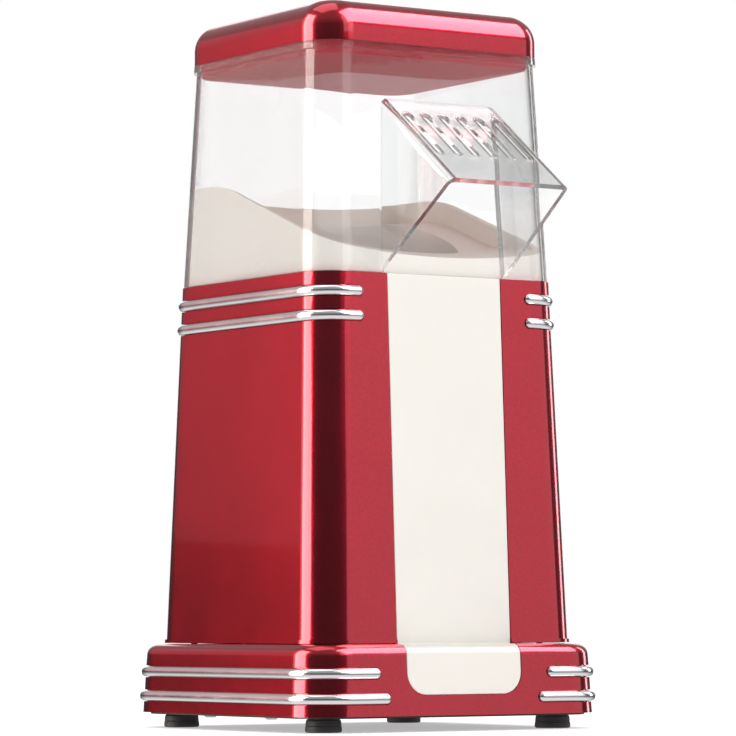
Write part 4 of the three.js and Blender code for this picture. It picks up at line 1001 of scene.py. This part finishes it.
class POPCORN_OT_cover(bpy.types.Operator):
    """Builds the clear cover with its cheeks and slotted hood"""
    bl_idname = "popcorn.cover"
    bl_label = "Clear cover and spout"

    def execute(self, context):
        sizes = context.scene.popcorn_cover
        low, high, wall = COVER_LOW.z, COVER_HIGH.z, sizes.wall
        half = (COVER_HIGH.x, COVER_HIGH.y - MIDDLE_Y)
        cover = tapered_box("clear_cover_walls", low, high, half, (sizes.lean_x, sizes.lean_y),
                            sizes.corner, 16)
        edit(cover)
        remove_faces(level)
        done()
        line_with_wall(cover, wall)
        edit(cover)
        rim_low = high - sizes.rim_height
        take_all()
        bpy.ops.mesh.bisect(plane_co=(0, 0, rim_low), plane_no=(0, 0, 1))
        pick("faces", lambda face: middle(face).z > rim_low and faces_out(face))
        stand_out(sizes.rim)
        done()

        start_z = low + sizes.hood_rise
        start_y = MIDDLE_Y - half_at(start_z, low, high, half, (sizes.lean_x, sizes.lean_y))[1]
        lip = Vector((sizes.lip_half, COVER_LOW.y, start_z - sizes.hood_drop))
        start = Vector((sizes.hood_half, start_y, start_z))
        heel = Vector((sizes.heel_half, MIDDLE_Y - half[1], low + TINY * 20))
        slope = Vector((0.0, lip.y - start.y, lip.z - start.z))
        down = slope.normalized()
        upward = Vector((0.0, down.z, -down.y))

        root = wall / 2
        spout = self.hood(start - down * root, lip, heel + Vector((0.0, root, 0.0)), sizes.shoulder)
        line_with_wall(spout, wall)
        turn = math.atan2(-down.z, -down.y)
        carve(spout, self.slots(sizes, start + down * (sizes.slot_start + sizes.slot_length / 2), turn))

        inner_start = start - upward * wall
        rise = (inner_start.z - lip.z + upward.z * wall) / (inner_start.y - lip.y + upward.y * wall)
        deep, shallow = MIDDLE_Y - half[1] + MOUTH_DEEP, MIDDLE_Y - half[1] - MOUTH_SHALLOW
        opening = block("opening_cut", (-1.0, shallow, low - PAST), (1.0, deep, start_z))
        edit(opening)
        for y in (deep, shallow):
            for upper in (True, False):
                pick("verts", lambda vert: abs(vert.co.y - y) < TINY and (vert.co.z > low) == upper)
                width = (sizes.hood_half if upper else sizes.heel_half) - wall
                widen(width, 1.0, 1.0, (0.0, y, 0.0))
                if upper:
                    top = inner_start.z + (y - inner_start.y) * rise
                    bpy.ops.transform.translate(value=(0.0, 0.0, top - start_z))
        done()
        carve(cover, opening)
        carve(cover, spout, "UNION")
        complete(cover, "cover", ["clear_cover"], "clear_plastic", ease=0.00025)
        return {"FINISHED"}

    def hood(self, start, lip, heel, shoulder):
        """The hood and its two cheeks as one sheet, its shoulders rounded."""
        spout = add(bpy.ops.mesh.primitive_plane_add, "spout_sheet", size=2.0, location=(0.0, 0.0, 0.0))
        edit(spout)
        for edge_y, target in ((1.0, start), (-1.0, lip)):
            pick("verts", lambda vert: abs(vert.co.y - edge_y) < TINY)
            widen(target.x, 1.0, 1.0, (0.0, edge_y, 0.0))
            bpy.ops.transform.translate(value=(0.0, target.y - edge_y, target.z))
        for side in (1.0, -1.0):
            pick("edges", lambda edge: middle(edge).x * side > 0.01 and abs(along(edge).x) < 0.5
                 and middle(edge).z > heel.z + 0.04)
            push(z=-0.01)
            bpy.ops.mesh.select_mode(type="VERT")
            bpy.ops.mesh.merge(type="CENTER")
            vert = next(v for v in bmesh.from_edit_mesh(spout.data).verts if v.select)
            place = vert.co.copy()
            bpy.ops.transform.translate(value=(heel.x * side - place.x, heel.y - place.y, heel.z - place.z))
        pick("edges", lambda edge: len(edge.link_faces) == 2)
        soften(shoulder, 6)
        take_all()
        bpy.ops.mesh.normals_make_consistent(inside=False)
        form = bmesh.from_edit_mesh(spout.data)
        if max(form.faces, key=lambda face: face.calc_area() * (abs(face.normal.x) < 0.5)).normal.z < 0:
            bpy.ops.mesh.flip_normals()
        done()
        return spout

    def slots(self, sizes, centre, turn):
        """All the steam slots as one cutting tool: modelled once, then copied across."""
        half = Vector((sizes.slot_width, sizes.slot_length, SLOT_CUT)) / 2
        first = block("slot_cut", -half, half)
        edit(first)
        pick("edges", upright)
        soften(sizes.slot_width * SLOT_ROUNDING, 8)
        done()
        set_in(first, centre - Vector((centre.x, 0.0, 0.0)), (turn, 0.0, 0.0))
        offsets = [(index - (sizes.slots - 1) / 2) * sizes.slot_pitch for index in range(sizes.slots)]
        copies = [copy_of(first, "slot_copy", (x, 0.0, 0.0)) for x in offsets]
        bpy.data.objects.remove(first, do_unlink=True)
        return joined(copies)


class POPCORN_OT_chute(bpy.types.Operator):
    """Builds the cream chute: its rim wall, sloping deck and throat"""
    bl_idname = "popcorn.chute"
    bl_label = "Chute"

    def execute(self, context):
        sizes = context.scene.popcorn_chute
        cover = context.scene.popcorn_cover
        low, ledge, top = CHUTE_LOW.z, COVER_LOW.z, BODY_HIGH.z + sizes.back_rise + PAST
        half = (CHUTE_HIGH.x, CHUTE_HIGH.y - MIDDLE_Y)
        share = (top - ledge) / (COVER_HIGH.z - COVER_LOW.z)
        lean = (cover.lean_x * share, cover.lean_y * share)
        chute = tapered_box("chute_tray", ledge, top, half, lean, CHUTE_CORNER, 16)
        edit(chute)
        pick("faces", lambda face: face.normal.z < -0.9)
        bpy.ops.mesh.inset(thickness=CHUTE_STEP)
        push(z=low - ledge)
        done()
        inner = (half[0] - sizes.wall + 0.0002, half[1] - sizes.wall + 0.0003)

        def hollow(name):
            return tapered_box(name, low - PAST, top + PAST, inner, (lean[0] * 1.2, lean[1] * 1.2),
                               CHUTE_INNER_CORNER, 12)


        tray = self.above("deck_space", self.deck_height, sizes)
        tray_space = hollow("tray_space")
        carve(tray_space, block("mouth", (-MOUTH_HALF, MIDDLE_Y - half[1] - PAST * 2, BODY_HIGH.z - 0.01),
                                (MOUTH_HALF, MIDDLE_Y, top + PAST * 0.5)), "UNION")
        carve(tray, tray_space, "INTERSECT")
        carve(chute, tray)

        under = hollow("under_space")
        carve(under, self.above("deck_solid", lambda x, y: self.deck_height(x, y) - sizes.deck, sizes))
        tube = self.rod("tube", sizes.throat + sizes.wall, BODY_HIGH.z + 0.0032, top + PAST * 3)
        carve(under, tube)
        carve(chute, under)
        carve(chute, self.above("over_rim", self.rim_height, sizes))
        carve(chute, self.rod("throat_cut", sizes.throat, low - PAST, top + PAST))
        complete(chute, "base", ["popcorn_chute"], "cream_plastic", ease=0.00035)
        return {"FINISHED"}

    def rod(self, name, radius, low, high):
        return add(bpy.ops.mesh.primitive_cylinder_add, name, vertices=72, radius=radius, depth=high - low,
                   location=(0.0, MIDDLE_Y, (low + high) / 2))

    def edge_height(self, y):
        """The rim: level at the back, bending down to a straight slope to the front."""
        sizes = bpy.context.scene.popcorn_chute
        front = -(CHUTE_HIGH.y - MIDDLE_Y)
        fall = sizes.back_rise - sizes.front_rise
        slope = fall / (sizes.knee - front)
        before = sizes.knee + sizes.knee_blend - y
        if before <= 0:
            return BODY_HIGH.z + sizes.back_rise
        if before >= 2 * sizes.knee_blend:
            return BODY_HIGH.z + sizes.back_rise - slope * (sizes.knee - y)
        return BODY_HIGH.z + sizes.back_rise - slope * before ** 2 / (4 * sizes.knee_blend)

    def rim_height(self, x, y):
        sizes = bpy.context.scene.popcorn_chute
        return self.edge_height(y) - sizes.dip * max(0.0, 1 - (x / COVER_HIGH.x) ** 2)

    def deck_height(self, x, y):
        sizes = bpy.context.scene.popcorn_chute
        start = -(CHUTE_HIGH.y - MIDDLE_Y)
        share = min(1.0, max(0.0, (y - start) / sizes.deck_run))
        return self.rim_height(x, y) - sizes.deck_drop * share * share * (3 - 2 * share)

    def above(self, name, height, sizes):
        """Everything above a curved surface, as a cutting block over the whole chute."""
        top = BODY_HIGH.z + sizes.back_rise + 6 * PAST
        piece = add(bpy.ops.mesh.primitive_grid_add, name, x_subdivisions=sizes.rows,
                    y_subdivisions=sizes.rows, size=2 * CHUTE_REACH, location=(0.0, MIDDLE_Y, 0.0))
        edit(piece)
        form = bmesh.from_edit_mesh(piece.data)
        for vert in form.verts:
            vert.co.z = height(vert.co.x, vert.co.y - MIDDLE_Y)
        bmesh.update_edit_mesh(piece.data)
        take_all()
        push(z=0.05)
        widen(1.0, 1.0, 0.0, (0.0, MIDDLE_Y, top))
        take_all()
        bpy.ops.mesh.normals_make_consistent(inside=False)
        done()
        return piece


class POPCORN_OT_chamber(bpy.types.Operator):
    """Turns the popping chamber with its air slots and its upper flange"""
    bl_idname = "popcorn.chamber"
    bl_label = "Popping chamber"

    def execute(self, context):
        low, high = CHAMBER_LOW.z, CHAMBER_HIGH.z
        bore, wall, flange = CHAMBER_BORE, CHAMBER_WALL, CHAMBER_HIGH.x
        outer = bore + wall
        cup = turned("popping_cup", [
            (0.0, low), (outer - 0.004, low), (outer - 0.0012, low + 0.0012), (outer, low + 0.004),
            (outer, high - wall), (flange, high - wall), (flange, high), (bore + 0.0008, high),
            (bore, high - 0.0008), (bore, low + 0.0044), (bore - 0.001, low + 0.002),
            (bore - 0.0034, low + wall), (0.012, low + wall), (0.0, low + wall + 0.0025),
        ], 96)
        first = block("louvre_cut", (bore - 2 * PAST, -0.0008, low + 0.005),
                      (outer + PAST, 0.0008, low + 0.018))
        pivot = Vector((0.0, 0.0, low + 0.0115))
        set_in(first, pivot - Matrix.Rotation(LOUVRE_LEAN, 3, "X") @ pivot, (LOUVRE_LEAN, 0.0, 0.0))
        slots = [copy_of(first, "louvre_copy") for _ in range(LOUVRES)]
        for index, slot in enumerate(slots):
            set_in(slot, turn=(0.0, 0.0, index / LOUVRES * math.tau))
        bpy.data.objects.remove(first, do_unlink=True)
        carve(cup, joined(slots))
        set_in(cup, (0.0, (CHAMBER_LOW.y + CHAMBER_HIGH.y) / 2, 0.0))
        complete(cup, "base", ["popping_chamber"], "aluminium")
        return {"FINISHED"}


class POPCORN_OT_feet(bpy.types.Operator):
    """Turns one rubber foot and copies it to the four corners"""
    bl_idname = "popcorn.feet"
    bl_label = "Feet"

    def execute(self, context):
        corners = ("front_left", "front_right", "rear_right", "rear_left")
        low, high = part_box("foot_front_left")
        radius = (high.x - low.x) / 2
        top = high.z
        pad = FOOT_PAD
        profile = [
            (0.0, 0.0006), (radius - 0.0022, 0.0006), (radius - 0.0018, 0.0), (radius - 0.0006, 0.0),
            (radius - 0.0001, 0.0004), (radius, 0.001), (radius - 0.0001, 0.0024), (radius - 0.0004, 0.0026),
            (radius - 0.0002, 0.0028), (radius - 0.0004, pad - 0.0006), (radius - 0.0009, pad),
            (0.003, pad), (0.003, top - 0.0016), (0.004, top - 0.0015), (0.003, top), (0.0, top),
        ]
        first = turned("foot", profile, 40)
        for corner in corners:
            low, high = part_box("foot_" + corner)
            place = ((low.x + high.x) / 2, (low.y + high.y) / 2, 0.0)
            foot = copy_of(first, "rubber_foot_" + corner, place)
            complete(foot, "base", ["foot_" + corner], "foot_rubber")
        bpy.data.objects.remove(first, do_unlink=True)
        return {"FINISHED"}


class POPCORN_OT_rear_fittings(bpy.types.Operator):
    """Builds the cord gland on the rear wall"""
    bl_idname = "popcorn.rear_fittings"
    bl_label = "Cord gland"

    def execute(self, context):
        gland = turned_back("gland_ring", GLAND_PROFILE, 40, "cord_gland")
        complete(gland, "base", ["cord_gland"], "black_plastic", angle=40.0)
        return {"FINISHED"}


class POPCORN_OT_frame_finishes(bpy.types.Operator):
    """Gives every part of the frame that still shows the finish of its material slot"""
    bl_idname = "popcorn.frame_finishes"
    bl_label = "Finishes of the inner parts"

    def execute(self, context):
        for part in frame["record"]["subparts"]:
            for slot in frame["nodes"][part["node"]].material_slots:
                slot.material = shop(part["material_slot"])
        return {"FINISHED"}


class POPCORN_OT_stage(bpy.types.Operator):
    """Sets out the floor, the soft studio lights and the camera"""
    bl_idname = "popcorn.stage"
    bl_label = "Stage"

    def execute(self, context):
        floor = add(bpy.ops.mesh.primitive_circle_add, "floor", vertices=96, radius=FLOOR_RADIUS,
                    fill_type="NGON")
        tint = context.scene.popcorn_colours.floor
        floor.data.materials.append(finish("Floor", tint, 0.85, drift=0.985, dust=0.0, grain=300.0,
                                           Emission_Color=(1.0, 1.0, 1.0, 1.0), Emission_Strength=FLOOR_GLOW))
        floor.visible_glossy = False
        floor.visible_transmission = False
        for lamp in LAMPS:
            self.lamp(*lamp)
        self.surroundings(context)
        bpy.ops.object.camera_add(location=CAMERA_PLACE)
        camera = context.object
        camera.name = "camera"
        camera.data.lens = CAMERA_LENS
        camera.data.clip_end = 50.0
        turn, climb, roll = CAMERA_AIM
        look = Vector((math.sin(turn) * math.cos(climb), math.cos(turn) * math.cos(climb), math.sin(climb)))
        aim = look.to_track_quat("-Z", "Y").to_matrix().to_4x4()
        aim.translation = CAMERA_PLACE
        camera.matrix_world = aim @ Matrix.Rotation(roll, 4, "Z")
        context.scene.camera = camera
        context.scene.view_settings.view_transform = "Standard"
        return {"FINISHED"}

    def lamp(self, name, place, target, size, brightness, tint, reflected_only):
        bpy.ops.object.light_add(type="AREA", location=place)
        lamp = bpy.context.object
        lamp.name = name
        lamp.data.shape = "RECTANGLE"
        lamp.data.size, lamp.data.size_y = size
        lamp.data.energy = brightness * math.pi * size[0] * size[1]
        lamp.data.color = tint
        lamp.visible_camera = False
        lamp.visible_diffuse = lamp.visible_transmission = not reflected_only
        lamp.rotation_euler = (Vector(target) - Vector(place)).to_track_quat("-Z", "Y").to_euler()

    def surroundings(self, context):
        """White behind the machine, even light all round, and a darker studio for the gloss to mirror."""
        world = bpy.data.worlds.new("Studio")
        context.scene.world = world
        world.use_nodes = True
        tree = world.node_tree
        tree.nodes.clear()
        direction = node(tree, "ShaderNodeTexCoord").outputs["Generated"]
        height = height_of(tree, direction)
        above = ranged(tree, height, 0.0, 0.6, 0.05, 0.4)
        below = ranged(tree, height, -0.1, -0.5, 0.05, 0.85)
        path = node(tree, "ShaderNodeLightPath").outputs
        even = product_of(tree, path["Is Diffuse Ray"], EVEN_LIGHT)
        unmirrored = sum_of(tree, path["Glossy Depth"], 0.5, "LESS_THAN")
        ahead = node(tree, "ShaderNodeVectorTransform", {"Vector": direction}, vector_type="VECTOR",
                     convert_from="WORLD", convert_to="CAMERA").outputs["Vector"]
        straight = ranged(tree, height_of(tree, ahead), 0.80, 0.97, 0.0, THROUGH_CLEAR)
        through = product_of(tree, path["Is Transmission Ray"], product_of(tree, straight, unmirrored))
        seen = larger_of(tree, path["Is Camera Ray"], through)
        light = larger_of(tree, larger_of(tree, even, seen), larger_of(tree, above, below))
        sky = node(tree, "ShaderNodeBackground", {"Strength": light, "Color": (1.0, 1.0, 1.0, 1.0)})
        node(tree, "ShaderNodeOutputWorld", {"Surface": sky.outputs["Background"]})


FLOOR_RADIUS = 9.0
FLOOR_GLOW = 0.40  # keeps the floor as white as the backdrop
EVEN_LIGHT = 0.75
THROUGH_CLEAR = 1.25  # the backdrop seen straight through the clear cover, to make up for its haze
WHITE = (1.0, 1.0, 1.0)
CAMERA_PLACE = (-0.9327, -1.3983, 0.0451)
CAMERA_AIM = (0.584, 0.063, -0.003)  # turned to the right of +Y, tipped up, rolled; in radians
CAMERA_LENS = 195.6
LAMPS = [  # name, place, aim, width and height, brightness, tint, seen only in reflections
    ("front_softbox", (0.5, -2.2, 1.3), (0, 0, 0.15), (1.4, 1.4), 1.3, WHITE, False),
    ("top_softbox", (-0.5, 0.2, 2.3), (0, 0, 0.15), (1.6, 1.6), 1.2, WHITE, False),
    ("left_card", (-1.93, 0.96, 0.75), (0, 0, 0.75), (1.40, 2.6), 7.5, (1.0, 0.90, 0.80), True),
    ("left_soft_card", (-1.53, 1.60, 0.75), (0, 0, 0.75), (0.62, 2.6), 1.0, (1.0, 0.50, 0.46), True),
    ("rear_left_card", (-1.30, 2.10, 0.80), (0, 0, 0.3), (1.7, 1.2), 0.32, (1.0, 0.36, 0.42), True),
    ("right_low_card", (1.45, -1.85, 0.36), (0, 0, 0.36), (2.3, 0.9), 0.80, WHITE, True),
    ("right_high_card", (0.98, -1.32, 1.78), (0, 0, 0.25), (2.1, 1.9), 7.0, (1.0, 0.92, 0.97), True),
    ("right_strip", (2.15, 0.10, 0.75), (0, 0, 0.5), (0.35, 1.6), 4.0, WHITE, True),
    ("back_card", (1.65, 2.50, 0.9), (0, 0, 0.9), (2.6, 2.4), 1.1, WHITE, True),
]

OPERATORS = (
    POPCORN_OT_stage, POPCORN_OT_tower, POPCORN_OT_plinth, POPCORN_OT_front_panel, POPCORN_OT_bars,
    POPCORN_OT_lid, POPCORN_OT_cover, POPCORN_OT_chute, POPCORN_OT_chamber, POPCORN_OT_feet,
    POPCORN_OT_rear_fittings, POPCORN_OT_frame_finishes,
)


class POPCORN_PT_panel(bpy.types.Panel):
    """Lists the sizes, the colours and the pieces"""
    bl_idname = "POPCORN_PT_panel"
    bl_label = "Popcorn maker"
    bl_space_type = "VIEW_3D"
    bl_region_type = "UI"
    bl_category = "Popcorn maker"

    def draw(self, context):
        for name, group in SETTINGS.items():
            box = self.layout.box()
            box.label(text=group.__doc__)
            for label in group.__annotations__:
                box.prop(getattr(context.scene, name), label)
        for operator in OPERATORS:
            self.layout.operator(operator.bl_idname)


def register():
    for name, group in SETTINGS.items():
        bpy.utils.register_class(group)
        setattr(bpy.types.Scene, name, PointerProperty(type=group))
    for operator in OPERATORS:
        bpy.utils.register_class(operator)
    bpy.utils.register_class(POPCORN_PT_panel)


def unregister():
    bpy.utils.unregister_class(POPCORN_PT_panel)
    for operator in reversed(OPERATORS):
        bpy.utils.unregister_class(operator)
    for name, group in reversed(SETTINGS.items()):
        delattr(bpy.types.Scene, name)
        bpy.utils.unregister_class(group)


def main():
    register()
    for operator in OPERATORS:
        family, name = operator.bl_idname.split(".")
        getattr(getattr(bpy.ops, family), name)()


if __name__ == "__main__":
    main()
